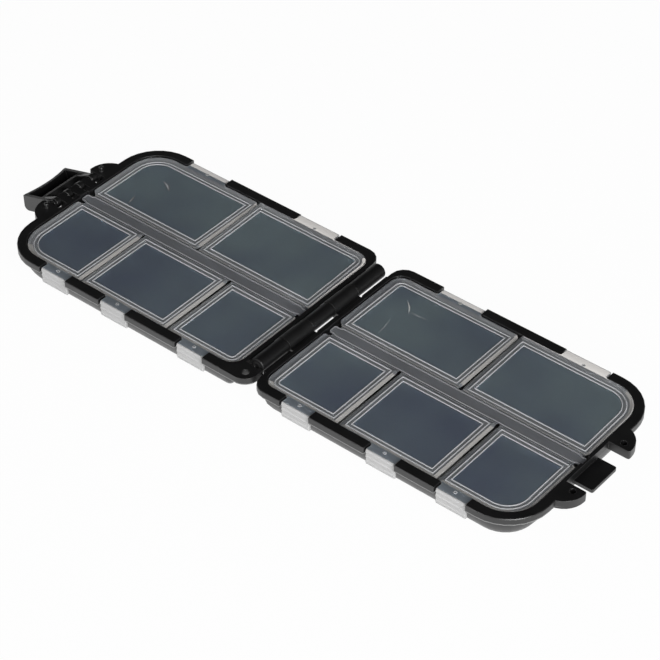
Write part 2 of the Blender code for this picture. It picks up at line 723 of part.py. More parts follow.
def lever_hollow():
    """What is cut out between the cheeks: the catch's window, the step over the crossbar and the finger recess."""
    bottom = LEVER_TOP - LEVER_DEPTH
    skin = bottom + LEVER_WALL
    start = -PIVOT_RADIUS - OVERRUN
    window = HOOK_START - PIVOT_RADIUS
    bar = HOOK_START + CROSSBAR_WIDTH
    above = LEVER_TOP + OVERRUN
    return [(start, above), (start, bottom - OVERRUN), (window, bottom - OVERRUN), (window, skin), (HOOK_START, skin),
            (HOOK_START, CROSSBAR_TOP), (bar, CROSSBAR_TOP), (bar, skin), (LEVER_LENGTH - LEVER_WALL, skin),
            (LEVER_LENGTH - LEVER_WALL, above)]


def arm_spans():
    """Ends along y of the lever's arms, which stand between the base's lugs."""
    half_lug = LATCH_LUG_WIDTH / 2 + GAP
    inner = LATCH_LUG_SPACING - half_lug
    outer = LATCH_LUG_SPACING + half_lug
    edge = LEVER_WIDTH / 2 - LEVER_WALL + OVERLAP
    return [(-edge, -outer), (-inner, -half_lug), (half_lug, inner), (outer, edge)]


def sweep_cutter(wall):
    """A wide cylinder across the lever's outer end, which dishes it for a fingertip; a wall makes it wider."""
    half = LEVER_WIDTH / 2 - LEVER_EDGE_RADIUS / 2
    radius = (half ** 2 + LEVER_SWEEP ** 2) / (2 * LEVER_SWEEP)
    span = math.degrees(math.asin((LEVER_WIDTH / 2 + OVERRUN) / radius))
    curve = arc((0, 0), radius + wall, 180 - span, 180 + span, LARGE_CORNER_SEGMENTS)
    rings = []
    for n in (LEVER_TOP + OVERRUN, LEVER_TOP - LEVER_DEPTH - OVERRUN):
        centre = LEVER_LENGTH - LEVER_SWEEP + radius + LEVER_END_LEAN * (LEVER_TOP - n) / LEVER_DEPTH
        flat = [(centre + along, y) for along, y in curve]
        flat += [(centre, flat[-1][1]), (centre, flat[0][1])]
        ring = []
        for s, y in flat:
            u, z = lever_point(s, n)
            ring.append((HINGE_X - u, y, z))
        rings.append(ring)
    return loft("sweep", rings)


def make_lever(name):
    """A shallow box open on one side, with the crossbar that hooks the catch."""
    half = LEVER_WIDTH / 2
    lever = lever_prism(name, lever_side(), -half, half)
    cut(lever, sweep_cutter(0))
    hollow = lever_prism("hollow", lever_hollow(), -half + LEVER_WALL, half - LEVER_WALL)
    cut(hollow, sweep_cutter(LEVER_WALL))
    cut(lever, hollow)
    for y0, y1 in arm_spans():
        join(lever, lever_prism("arm", lever_arm(), y0, y1))
    bore = LATCH_PIN_RADIUS + GAP
    centre = (HINGE_X - PIVOT_U, PIVOT_Z)
    stations = [(-half - OVERRUN, bore), (half + OVERRUN, bore)]
    cut(lever, turned("lever_bore", centre, stations, HOLE_SEGMENTS))
    return lever


# Pins

def make_pin(name, centre, y0, y1, radius):
    chamfer = radius / 4
    stations = [(y0, radius - chamfer), (y0 + chamfer, radius), (y1 - chamfer, radius), (y1, radius - chamfer)]
    return turned(name, centre, stations, HOLE_SEGMENTS)


# Assembly

def build_half(side, shell_name, spine_name, prefix):
    """One shell with its spine strip and five lids."""
    axis = (HINGE_X, 0, HINGE_Z)
    origin = (0, 0, 0) if side == BASE else axis
    shell = dress(make_shell(shell_name, side), shell_name, black_plastic(shell_name + "_plastic"), origin)
    spine = dress(make_spine(spine_name, side), spine_name, frosted_plastic(spine_name + "_plastic"),
                  (HINGE_X + side * (LID_U0 + LID_U1) / 2, 0, LID_TOP))
    hang(spine, shell)
    edges = row_edges(NEAR) + row_edges(FAR)
    numbers = list(range(1, len(row_edges(NEAR)) + 1)) + list(range(1, len(row_edges(FAR)) + 1))
    for (row, centre, width), (u0, u1), number in zip(tab_places(), edges, numbers):
        name = f"{prefix}_lid_{'near' if row == NEAR else 'far'}_{number}"
        lid = make_lid(name, side, row, u0, u1, centre, width)
        fold = (HINGE_X + side * (u0 + u1) / 2, row * LID_HINGE_OFFSET, LID_TOP)
        hang(dress(lid, name, frosted_plastic(name + "_plastic"), fold), shell)
    return shell


def build():
    clear_scene()
    base = build_half(BASE, "base_shell", "base_lid_spine", "base")
    cover = build_half(COVER, "cover_shell", "cover_lid_spine", "cover")
    hang(cover, base)
    axis = (HINGE_X, 0, HINGE_Z)
    tip = BARREL_LENGTH / 2
    pin = make_pin("hinge_pin", (HINGE_X, HINGE_Z), -tip + GAP, tip - WALL - GAP, HINGE_PIN_RADIUS)
    hang(dress(pin, "hinge_pin", steel("hinge_pin_steel"), axis), base)
    pivot = (HINGE_X - PIVOT_U, 0, PIVOT_Z)
    reach = LEVER_WIDTH / 2 - GAP
    pin = make_pin("latch_pin", (HINGE_X - PIVOT_U, PIVOT_Z), -reach, reach, LATCH_PIN_RADIUS)
    hang(dress(pin, "latch_pin", steel("latch_pin_steel"), pivot), base)
    lever = dress(make_lever("latch_lever"), "latch_lever", black_plastic("latch_lever_plastic"), pivot)
    hang(lever, base)


build()
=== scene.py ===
# %% [markdown]
# # A pocket tackle box, lying open
#
# The object is a flat, double-sided tackle box: two black moulded shells on one pin hinge, five small
# frosted lids in each, and a flip latch at one end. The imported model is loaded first. It fixes every size
# and place here, and each new piece rides on one of its bodies, so that the shells close, the lids lift and
# the latch snaps over.

# %% Load the frame
import math

import bmesh
import bpy
import numpy as np
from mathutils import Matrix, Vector


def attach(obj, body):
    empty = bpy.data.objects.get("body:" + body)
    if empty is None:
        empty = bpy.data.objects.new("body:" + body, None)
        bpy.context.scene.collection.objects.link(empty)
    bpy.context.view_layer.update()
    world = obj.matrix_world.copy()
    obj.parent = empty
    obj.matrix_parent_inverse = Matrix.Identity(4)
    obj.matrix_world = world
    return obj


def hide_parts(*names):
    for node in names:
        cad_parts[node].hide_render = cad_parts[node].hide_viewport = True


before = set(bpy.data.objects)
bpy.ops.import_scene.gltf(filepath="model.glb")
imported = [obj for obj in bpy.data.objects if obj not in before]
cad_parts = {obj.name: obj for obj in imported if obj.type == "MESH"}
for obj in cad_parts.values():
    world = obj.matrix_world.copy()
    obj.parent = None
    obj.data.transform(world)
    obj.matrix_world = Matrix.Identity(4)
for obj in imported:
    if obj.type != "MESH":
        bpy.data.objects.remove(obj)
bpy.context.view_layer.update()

MM = 0.001

# %% [markdown]
# ## The view
#
# The photograph was taken with a long lens from above one corner, so the box hardly narrows with distance.
# A camera could be aimed by eye, but its place was found from the straight edges of the lids, so here it is
# typed in: the eye, the direction it looks in, and the focal length for a 36 mm sensor.

# %% Camera
EYE = Vector((552.0, -577.05, 649.7)) * MM
LOOK = Vector((-0.48337, 0.58832, -0.64825))
FOCAL_LENGTH = 129.13
SENSOR = 36.0

camera = bpy.data.objects.new("camera", bpy.data.cameras.new("camera"))
bpy.context.scene.collection.objects.link(camera)
camera.location = EYE
camera.rotation_euler = LOOK.to_track_quat("-Z", "Y").to_euler()
camera.data.lens = FOCAL_LENGTH
camera.data.sensor_width = SENSOR
camera.data.clip_start = 10 * MM
bpy.context.scene.camera = camera
print("camera looks down by", round(math.degrees(math.asin(-LOOK.z)), 1), "degrees")

# %% [markdown]
# ## Nodes without clutter
#
# Every finish below is a small graph of shader nodes. They could be wired by hand in the editor; one helper
# that adds a node, types in its numbers and links its sockets keeps each graph readable as a few lines of
# text. The small helpers after it are what most graphs need: noise, a ramp, a step of arithmetic, a mix of
# two colours.

# %% Node helpers
NOISE_LOW, NOISE_HIGH = 0.2, 0.8


def add(tree, kind, inputs=None, **settings):
    """Adds one shader node. An input given as a socket is linked, and anything else is typed in."""
    made = tree.nodes.new("ShaderNode" + kind)
    for name, value in settings.items():
        setattr(made, name, value)
    for name, value in (inputs or {}).items():
        if isinstance(value, bpy.types.NodeSocket):
            tree.links.new(value, made.inputs[name])
        else:
            made.inputs[name].default_value = value
    return made


def new_finish(name):
    """An empty material, with its node tree, its Object coordinates and its output node."""
    material = bpy.data.materials.new(name)
    material.use_nodes = True
    tree = material.node_tree
    tree.nodes.clear()
    return material, tree, add(tree, "TexCoord").outputs["Object"], add(tree, "OutputMaterial")


def speckle(tree, where, size, detail=3.0):
    """Noise whose blobs are about one size across, in metres."""
    return add(tree, "TexNoise", {"Vector": where, "Scale": 1 / size, "Detail": detail}).outputs["Fac"]


def ramp(tree, value, start, end, low=0.0, high=1.0, **settings):
    """Low where the value is at the start, high where it is at the end, and a straight line between."""
    inputs = {"Value": value, "From Min": start, "From Max": end, "To Min": low, "To Max": high}
    return add(tree, "MapRange", inputs, **settings).outputs["Result"]


def between(tree, share, low, high):
    """Stretches the middle of a noise to a range of numbers. Its rare extremes run past the range."""
    return ramp(tree, share, NOISE_LOW, NOISE_HIGH, low, high, clamp=False)


def calculate(tree, operation, *values, **settings):
    """One step of arithmetic with sockets or numbers."""
    return add(tree, "Math", dict(enumerate(values)), operation=operation, **settings).outputs[0]


def tint(tree, share, first, second):
    """A colour between two colours."""
    mix = add(tree, "Mix", {"Factor": share}, data_type="RGBA")
    mix.inputs["A"].default_value = (*first, 1)
    mix.inputs["B"].default_value = (*second, 1)
    return mix.outputs["Result"]


print("the middle of a noise runs from", NOISE_LOW, "to", NOISE_HIGH)

# %% [markdown]
# ## Black moulded plastic
#
# The shells and the latch are black polypropylene, satin rather than glossy, with the very fine grain of an
# eroded mould. Where two faces meet, the plastic is a little rounded, and that edge is what the eye sees as
# a thin grey line: partly scuffs, and partly painted highlight, the light that the rounding catches. The
# Bevel node gives both the rounding and the line: it bends the normal close to an edge, and how far it bends
# it is the mask for the scuffs and the painted highlight. One more pale line runs along the sides of the
# shells, low on the flange, at its lower edge. It is painted highlight too, the light that this edge
# catches, and it is finer than a millimetre, so it is painted by height.

# %% Black plastic
CLOUD_SIZE = 9 * MM
# the edge mask: partly scuffs, partly painted highlight on the rounded edges
SCUFF_AND_HIGHLIGHT_RADIUS, SCUFF_AND_HIGHLIGHT_STARTS, SCUFF_AND_HIGHLIGHT_FULL = 0.25 * MM, 0.995, 0.8
# the painted highlight line along the flange's lower edge: its height, core, rim and strength
LINE_HEIGHT, LINE_CORE, LINE_RIM, LINE_STRENGTH = 14.0 * MM, 0.15 * MM, 0.3 * MM, 4.5
SIDES_START, SIDES_FULL = 24 * MM, 30 * MM
DEEP_BLACK, SOFT_BLACK = (0.0020, 0.0020, 0.0022), (0.0034, 0.0034, 0.0036)


def painted_highlight_line(tree, where):
    """The mask of the painted highlight along the flange's lower edge: strong up to its core's distance
    from its height, gone from its rim's distance, and only on the sides of the box, so that the catch and
    the ears are without it."""
    box_place = add(tree, "SeparateXYZ", {0: where})
    off = calculate(tree, "ABSOLUTE", calculate(tree, "SUBTRACT", box_place.outputs["Z"], LINE_HEIGHT))
    line = ramp(tree, off, LINE_RIM, LINE_CORE, 0.0, LINE_STRENGTH)
    aside = calculate(tree, "ABSOLUTE", box_place.outputs["Y"])
    return calculate(tree, "MULTIPLY", line, ramp(tree, aside, SIDES_START, SIDES_FULL))


def black_plastic(name, grain_size=0.45 * MM, grain_depth=0.004 * MM, edge_colour=0.05, roughness=0.39,
                  gloss=0.9, with_highlight_line=False):
    """Near-black satin plastic: grain by fine noise, cloudy gloss by coarse noise, pale lines along its
    edges that are partly scuffs and partly painted highlight, and a painted highlight line along the flange
    where the piece has one."""
    material, tree, where, output = new_finish(name)
    clouds = speckle(tree, where, CLOUD_SIZE)
    fine = speckle(tree, where, grain_size)
    soft_edge = add(tree, "Bevel", {"Radius": SCUFF_AND_HIGHLIGHT_RADIUS}, samples=6).outputs["Normal"]
    normal = add(tree, "NewGeometry").outputs["Normal"]
    facing = add(tree, "VectorMath", {0: soft_edge, 1: normal}, operation="DOT_PRODUCT").outputs["Value"]
    scuff_and_highlight = ramp(tree, facing, SCUFF_AND_HIGHLIGHT_STARTS, SCUFF_AND_HIGHLIGHT_FULL)
    # painted highlight along the flange's lower edge
    if with_highlight_line:
        scuff_and_highlight = calculate(tree, "MAXIMUM", scuff_and_highlight, painted_highlight_line(tree, where))
    black = tint(tree, between(tree, clouds, 0, 1), DEEP_BLACK, SOFT_BLACK)
    colour = add(tree, "Mix", {"Factor": scuff_and_highlight}, data_type="RGBA", clamp_factor=False)
    tree.links.new(black, colour.inputs["A"])
    colour.inputs["B"].default_value = (edge_colour, edge_colour, edge_colour, 1)
    bump = add(tree, "Bump", {"Height": fine, "Normal": soft_edge, "Strength": 0.5, "Distance": grain_depth})
    inputs = {
        "Base Color": colour.outputs["Result"],
        "Roughness": between(tree, clouds, roughness - 0.05, roughness + 0.05),
        "Specular IOR Level": gloss,
        "Normal": bump.outputs["Normal"],
    }
    tree.links.new(add(tree, "BsdfPrincipled", inputs).outputs["BSDF"], output.inputs["Surface"])
    return material


shell_black = black_plastic("shell_black", with_highlight_line=True)
latch_black = black_plastic("latch_black", edge_colour=0.08)
print("black finishes:", shell_black.name, latch_black.name)

# %% [markdown]
# ## Milky plastic
#
# The lids are one milky, see-through plastic, but it looks different from place to place. Over the dark
# compartments the thin panel is slate grey; along the skirt below it and in the grip tabs there is more
# plastic to look through, so the skirt is paler and the tabs are nearly white. Real light does that by
# scattering, which is slow and noisy to render. Here each region has its own share of light that passes and
# share that scatters back, which costs nothing and keeps the lid see-through when it stands open. The pale
# and grey finishes of the border are painted light and painted shade. The far panels look a little greener
# than the near ones, so their colour turns slowly across the box.

# %% Milky plastic
HAZE_SIZE, FROST_SIZE, FROST_DEPTH = 30 * MM, 0.5 * MM, 0.0015 * MM
DARKER, LIGHTER = 0.9, 1.06
TURN_PLACES, TURN_SHIFTS = (-30 * MM, 25 * MM), (-0.25, 0.35)


def milky_plastic(name, colour, passes, roughness=0.36, near_colour=None):
    """Plastic that lets one share of the light pass, softly, and scatters back the rest in its own colour.
    With a colour given for the near side, it changes to that across the box."""
    material, tree, where, output = new_finish(name)
    haze = speckle(tree, where, HAZE_SIZE, 1.0)
    frost = speckle(tree, where, FROST_SIZE, 2.0)
    darker = tuple(DARKER * channel for channel in colour)
    lighter = tuple(min(LIGHTER * channel, 1.0) for channel in colour)
    bump = add(tree, "Bump", {"Height": frost, "Strength": 0.5, "Distance": FROST_DEPTH})
    share = between(tree, haze, 0, 1)
    if near_colour:
        across_box = add(tree, "SeparateXYZ", {0: where}).outputs["Y"]
        shift = ramp(tree, across_box, *TURN_PLACES, *TURN_SHIFTS, interpolation_type="SMOOTHSTEP")
        share = calculate(tree, "ADD", share, shift, use_clamp=True)
        darker = near_colour
    inputs = {
        "Base Color": tint(tree, share, darker, lighter),
        "Roughness": between(tree, haze, roughness - 0.04, roughness + 0.05),
        "Transmission Weight": passes,
        "IOR": 1.49,
        "Normal": bump.outputs["Normal"],
    }
    tree.links.new(add(tree, "BsdfPrincipled", inputs).outputs["BSDF"], output.inputs["Surface"])
    return material


PANEL, FLANGE, BEAD, EDGE_AND_LIT, TAB_ROOF, TAB_FRONT, TAB_PALE_AND_LIT, SHADE = range(8)
lid_finishes = [
    milky_plastic("milky_panel", (0.59, 0.72, 0.78), 0.87, near_colour=(0.44, 0.52, 0.68)),
    milky_plastic("milky_flange", (0.64, 0.66, 0.69), 0.80),
    milky_plastic("milky_bead", (0.80, 0.81, 0.83), 0.45),
    # pale edge finish, also the painted light on the border's light-facing ends and near tab sides
    milky_plastic("milky_edge_and_painted_light", (0.66, 0.645, 0.62), 0.45),
    milky_plastic("milky_tab_roof", (0.53, 0.60, 0.68), 0.78),
    milky_plastic("milky_tab_front", (0.58, 0.58, 0.58), 0.12, roughness=0.4),
    # pale tab roofs, also the painted light on the base lids' hinge ends, which the rim would shade
    milky_plastic("milky_tab_pale_and_painted_light", (0.93, 0.90, 0.87), 0.05, roughness=0.4),
    # painted shade: the grey border at the ends that face away and along the near fold
    milky_plastic("milky_painted_shade", (0.46, 0.48, 0.52), 0.84),
]
print("milky finishes:", ", ".join(finish.name for finish in lid_finishes))

# %% [markdown]
# ## Surfaces from rings
#
# Most pieces here are flat mouldings with rounded edges. Each is worked out as a stack of closed rings: one
# parameter runs round the outline, and the other goes over the section, from the middle of the underside
# round the edge to the middle of the top. Numpy works out a whole ring at a time, and one helper turns the
# stack into a closed mesh.

# %% Rings to meshes
WELD = 0.001 * MM


def ring_faces(rings, points, first):
    """Quads between neighbouring rings, and one flat face over each end. Point j of ring i has the number
    i * points + j."""
    i, j = np.meshgrid(np.arange(rings - 1), np.arange(points), indexing="ij")
    beside = (j + 1) % points
    corners = [i * points + j, i * points + beside, (i + 1) * points + beside, (i + 1) * points + j]
    quads = (np.stack(corners, axis=-1).reshape(-1, 4) + first).tolist()
    last_ring = first + (rings - 1) * points
    return quads, [(first + np.arange(points)[::-1]).tolist(), (last_ring + np.arange(points)).tolist()]


def solid(name, stacks, finishes, body, replaces=(), sharp=40.0):
    """One object from stacks of rings. A stack is (array of rings x points x 3, array of rings - 1 x points
    of finish numbers, finish of the first end, finish of the last end)."""
    places, faces, kinds = [], [], []
    first = 0
    for rings, kind, start, end in stacks:
        count, points = rings.shape[:2]
        quads, ends = ring_faces(count, points, first)
        faces += quads + ends
        strips = np.broadcast_to(kind, (count - 1, points))
        kinds.append(np.concatenate([strips.ravel(), (start, end)]))
        places.append(rings.reshape(-1, 3))
        first += count * points
    mesh = bpy.data.meshes.new(name)
    mesh.from_pydata(np.concatenate(places).tolist(), [], faces)
    for finish in finishes:
        mesh.materials.append(finish)
    mesh.polygons.foreach_set("material_index", np.concatenate(kinds).astype(np.int32))
    return finished(name, mesh, body, replaces, sharp)


def finished(name, mesh, body, replaces, sharp):
    """Merges a mesh's doubles, turns its faces outwards, shades it smooth up to an angle, and hangs it on
    its body."""
    work = bmesh.new()
    work.from_mesh(mesh)
    bmesh.ops.remove_doubles(work, verts=work.verts, dist=WELD)
    bmesh.ops.recalc_face_normals(work, faces=work.faces)
    work.to_mesh(mesh)
    work.free()
    mesh.shade_smooth()
    mesh.set_sharp_from_angle(angle=math.radians(sharp))
    piece = bpy.data.objects.new(name, mesh)
    bpy.context.scene.collection.objects.link(piece)
    weigh = piece.modifiers.new("even_shading", "WEIGHTED_NORMAL")
    weigh.keep_sharp = True
    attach(piece, body)
    if replaces:
        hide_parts(*replaces)
    return piece


print("points within", WELD / MM, "mm of each other are merged")

# %% [markdown]
# ## Where things are
#
# The two halves are drawn in one pair of coordinates: u runs from the main hinge to the latch end, and v
# from the middle of the box to either side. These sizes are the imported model's own. They are written in
# millimetres, and MM turns them into metres.

# %% Shared sizes
HINGE_X = 71.65 * MM
LID_TOP = 15.7 * MM
LID_EDGE = 0.95 * MM
LID_U0, LID_U1 = 7.4 * MM, 133.5 * MM
LID_SIDE = 44.6 * MM
FOLD_V = 3.95 * MM
WELL_LENGTH = 126.7 * MM
WELL_U0 = 7.1 * MM
NEAR, FAR = -1, 1
BASE, COVER = -1, 1


def place(side, row, u, v, z):
    """Box coordinates to metres: x = hinge + side * u, y = row * v."""
    u, v, z = np.broadcast_arrays(u, v, z)
    return np.stack([HINGE_X + side * u, row * v, z], axis=-1)


print("a set of lids is", round((LID_U1 - LID_U0) / MM, 1), "mm long")

# %% [markdown]
# ## The lids
#
# Each lid is a thin plate with a raised border. Inside the border two fine beads run round a panel, a plug
# skirt hangs below them, and a grip tab folds down over the rim, with three ridges for the fingernail. A
# lid could be cut from a block with Booleans, but a stack of rings gives every edge its rounding and keeps
# the faces even.
#
# The corners beside the fold come first, because they differ. At the ends of the box they are notched for
# the tongues of the spine strip, and between two lids the slit widens a little towards the fold.

# %% Corners beside the fold
CORNER_STEPS, FOLD_STEPS = 9, 8
NOTCH_DEPTH, FLARE_REACH = 0.9 * MM, 2.0 * MM


def arc(centre_u, centre_v, radius, start, end, steps=CORNER_STEPS):
    """Points of an arc: centre + radius * (cos a, sin a), with a from start to end, in degrees."""
    angle = np.radians(np.linspace(start, end, steps))
    return centre_u + radius * np.cos(angle), centre_v + radius * np.sin(angle)


def fold_corner(u_end, v0, towards, outer, notch, radius, flare):
    """The points of the corner next to the fold, from the end to the fold:
    u = end - towards * r (1 - cos a) and v = fold + r (1 - sin a), with a from 0 to 90 degrees. Next to
    the strip's tongue the outline steps back by the notch's length. At a slit it draws back by the
    flare, so that the slit widens towards the fold."""
    if outer and notch == 0:
        turn = np.radians(np.linspace(0, 90, FOLD_STEPS))
        return u_end - towards * radius * (1 - np.cos(turn)), v0 + radius * (1 - np.sin(turn))
    turn = np.radians(np.linspace(0, 90, FOLD_STEPS // 2))
    back, low = radius * (1 - np.cos(turn)), radius * (1 - np.sin(turn))
    if outer:
        u = u_end - towards * np.concatenate([back, back + notch])
        return u, v0 + np.concatenate([low + NOTCH_DEPTH, low])
    share = np.linspace(0, 1, FOLD_STEPS // 2)
    u = u_end - towards * np.concatenate([flare * share, back + flare])
    return u, v0 + np.concatenate([FLARE_REACH * (1 - share / 2), low])


print("points of a corner beside the fold:", FOLD_STEPS)

# %% [markdown]
# The outline of a lid is a rounded rectangle. It steps out round the tab only in the outer rings, so that
# the panel stays plain. The beads lie nearer the edge at the fold, and further in at the ends of the box,
# so there the inset is looked up in a table.

# %% Lid outline
TAB_REACH, TAB_FILLET = 3.85 * MM, 1.1 * MM
TAB_CORNERS = {NEAR: 0.5 * MM, FAR: 0.85 * MM}
FILLET_STEPS, TAB_CORNER_STEPS = 6, 5
SLIT_FLARE, FLARE_LOSS = 0.25 * MM, 0.1
NOTCH_LENGTH, NOTCH_LOSS = 1.9 * MM, 1.6
CORNER_AT_TONGUE, CORNER_AT_SLIT = 1.1 * MM, 0.5 * MM
LEAST_FOLD_CORNER, LEAST_CORNER, LEAST_TAB_CORNER = 0.25 * MM, 0.3 * MM, 0.1 * MM
RING_INSETS = np.array((0, 1.15, 2.55, 4.25, 6)) * MM
FOLD_INSETS = np.array((0, 0.3, 1.3, 3.45, 5.2)) * MM
END_INSETS = np.array((0, 1.15, 2.9, 4.6, 6.35)) * MM
TAB_START = 2 * FOLD_STEPS + CORNER_STEPS
TAB_COLUMNS = np.arange(TAB_START, TAB_START + 2 * (FILLET_STEPS + TAB_CORNER_STEPS))


def lid_ring(lid, inset, tab):
    """One ring of a lid from above: a rounded rectangle drawn in by an inset, that steps out round the grip
    tab by a share of the tab's reach. The points round the tab never pass the rounded corners."""
    insets = [np.interp(inset, RING_INSETS, END_INSETS) if outer else inset for outer in lid["outer"]]
    u0, u1 = lid["u0"] + insets[0], lid["u1"] - insets[1]
    v0, v1 = FOLD_V + np.interp(inset, RING_INSETS, FOLD_INSETS), LID_SIDE - inset
    notch, flare = max(NOTCH_LENGTH - NOTCH_LOSS * inset, 0), max(SLIT_FLARE - FLARE_LOSS * inset, 0)
    folds = [CORNER_AT_TONGUE if outer else CORNER_AT_SLIT for outer in lid["outer"]]
    folds = [max(radius - inset, LEAST_FOLD_CORNER) for radius in folds]
    first = fold_corner(u0, v0, -1, lid["outer"][0], notch, folds[0], flare)
    last = fold_corner(u1, v0, 1, lid["outer"][1], notch, folds[1], flare)
    start, end = [max(radius - inset, LEAST_CORNER) for radius in lid["radii"]]
    half, centre, fillet = lid["tab_width"] / 2 - inset * tab, lid["tab_at"], TAB_FILLET + inset
    corner = max(TAB_CORNERS[lid["row"]] - inset, LEAST_TAB_CORNER)
    parts = [
        first,
        (last[0][::-1], last[1][::-1]),
        arc(u1 - end, v1 - end, end, 0, 90),
        arc(centre + half + fillet, v1 + fillet, fillet, 270, 180, FILLET_STEPS),
        arc(centre + half - corner, v1 + TAB_REACH - corner, corner, 0, 90, TAB_CORNER_STEPS),
        arc(centre - half + corner, v1 + TAB_REACH - corner, corner, 90, 180, TAB_CORNER_STEPS),
        arc(centre - half - fillet, v1 + fillet, fillet, 360, 270, FILLET_STEPS),
        arc(u0 + start, v1 - start, start, 90, 180),
    ]
    u = np.concatenate([part[0] for part in parts])
    v = np.concatenate([part[1] for part in parts])
    u[TAB_COLUMNS] = np.clip(u[TAB_COLUMNS], u0 + start, u1 - end)
    return u, np.minimum(v, v1) + np.maximum(v - v1, 0) * tab


print("points of a lid's outline:", TAB_START + len(TAB_COLUMNS) + CORNER_STEPS)

# %% [markdown]
# The section of a lid is a list of stations, from the middle of the underside round to the middle of the
# top. Each has its inset from the outline, its height, the share of the tab's reach that it takes, and the
# finish of the strip up to the next station. A station of the top side has two heights above the lid's
# plane: the first where the border stands up along the tab's side, and the second where it slopes outwards
# at the ends. That plane falls a little from the fold to the tab, because such lids never lie quite flat.

# %% Lid section
BEAD_OUT, BEAD_IN = 2.55 * MM, 4.25 * MM
BEAD_HALF, BEAD_HEIGHT, BEAD_STEPS = 0.27 * MM, 0.3 * MM, 6
SKIRT_BOTTOM, PANEL_BELOW = -3.6 * MM, -1.25 * MM
TOP_DROP, TOP_SLOPE = 0.1 * MM, -0.003
SKIN = 0.12 * MM
BORDER_RISE = 0.8 * MM
PALE_SHARE = 0.5


def bead(middle):
    """A half-round bead: inset = middle - half * cos a, height = rise * sin a."""
    angle = np.linspace(0, np.pi, BEAD_STEPS + 1)
    kinds = [BEAD] * BEAD_STEPS + [FLANGE]
    places = [(middle - BEAD_HALF * math.cos(a), BEAD_HEIGHT * math.sin(a)) for a in angle]
    return [(inset, rise, 0, 0, kind) for (inset, rise), kind in zip(places, kinds)]


UNDERSIDE = [
    (BEAD_IN + SKIN, PANEL_BELOW, 0, PANEL),
    (BEAD_IN, PANEL_BELOW - SKIN, 0, FLANGE),
    (BEAD_IN, SKIRT_BOTTOM + SKIN, 0, FLANGE),
    (BEAD_IN - SKIN, SKIRT_BOTTOM, 0, FLANGE),
    (BEAD_OUT + SKIN, SKIRT_BOTTOM, 0, FLANGE),
    (BEAD_OUT, SKIRT_BOTTOM + SKIN, 0, FLANGE),
    (BEAD_OUT, -LID_EDGE - SKIN, 0, FLANGE),
    (BEAD_OUT - SKIN, -LID_EDGE, 0, FLANGE),
    (0.9 * MM, -LID_EDGE, 1, EDGE_AND_LIT),
    (0.25 * MM, -LID_EDGE + 0.25 * MM, 1, EDGE_AND_LIT),
]
BORDER_TOP = [
    (0, 0.4 * MM, -0.58 * MM, 1, EDGE_AND_LIT),
    (0.08 * MM, 0.65 * MM, -0.46 * MM, 1, EDGE_AND_LIT),
    (0.3 * MM, BORDER_RISE, -0.32 * MM, 1, EDGE_AND_LIT),
    (0.42 * MM, BORDER_RISE, -0.28 * MM, PALE_SHARE, EDGE_AND_LIT),
    (0.5 * MM, BORDER_RISE, -0.24 * MM, 0.02, EDGE_AND_LIT),
    (1.3 * MM, 0.25 * MM, 0.16 * MM, 0, EDGE_AND_LIT),
    (1.5 * MM, 0.17 * MM, 0, 0, FLANGE),
    (1.95 * MM, 0.03 * MM, 0, 0, FLANGE),
]
INNER_TOP = [(2.15 * MM, 0, -0.02 * MM, 0, FLANGE)] + bead(BEAD_OUT) + bead(BEAD_IN)
INNER_TOP += [(BEAD_IN + BEAD_HALF + SKIN, 0, 0, 0, PANEL)]
print("stations of a lid's section:", len(UNDERSIDE), "below and", len(BORDER_TOP + INNER_TOP), "on top")

# %% [markdown]
# The border is one moulding, but it doesn't look like one colour, and its light and shade are painted. It
# is painted pale, as light, at the ends that face the light and along the near tabs, and painted grey, as
# shade, at the ends that face away and along the near fold, and it is as clear as the flange elsewhere, so
# its strips get their finishes by the side that they lie on. How far a point of the outline belongs to
# each side is worked out once, with soft changes round the corners.

# %% Border by sides
AT_END, AT_FOLD = 0.3, 0.7
FIRST_TOP = 1 + len(UNDERSIDE)
BORDER = slice(FIRST_TOP, FIRST_TOP + len(BORDER_TOP))
BORDER_AND_WALL = slice(FIRST_TOP - 2, FIRST_TOP + len(BORDER_TOP))
# how many border stations at the base lids' hinge ends get painted light
PALE_STATIONS = 6
ROOF_STATION = FIRST_TOP + 2
FOLD_CORNERS = (slice(0, FOLD_STEPS - 1), slice(FOLD_STEPS, 2 * FOLD_STEPS - 1))
TAB_SIDE = slice(TAB_START - CORNER_STEPS // 2 - 1, TAB_START + len(TAB_COLUMNS) + CORNER_STEPS // 2 + 1)


def side_shares(lid):
    """How far each outline point belongs to the fold, the start and the end: sin^2 and cos^2 round the
    corners."""
    beside_slit = np.linspace(-90, 90, FOLD_STEPS).clip(0)
    turns = [np.linspace(0, 90, FOLD_STEPS) if outer else beside_slit for outer in lid["outer"]]
    first, last = [np.sin(np.radians(turn)) ** 2 for turn in turns]
    round_end = np.cos(np.radians(np.linspace(0, 90, CORNER_STEPS))) ** 2
    plain, none = np.zeros(len(TAB_COLUMNS)), np.zeros(CORNER_STEPS)
    fold = np.concatenate([first, last[::-1], none, plain, none])
    start = np.concatenate([1 - first, 0 * last, none, plain, round_end[::-1]])
    end = np.concatenate([0 * first, 1 - last[::-1], round_end, plain, none])
    return fold, start, end


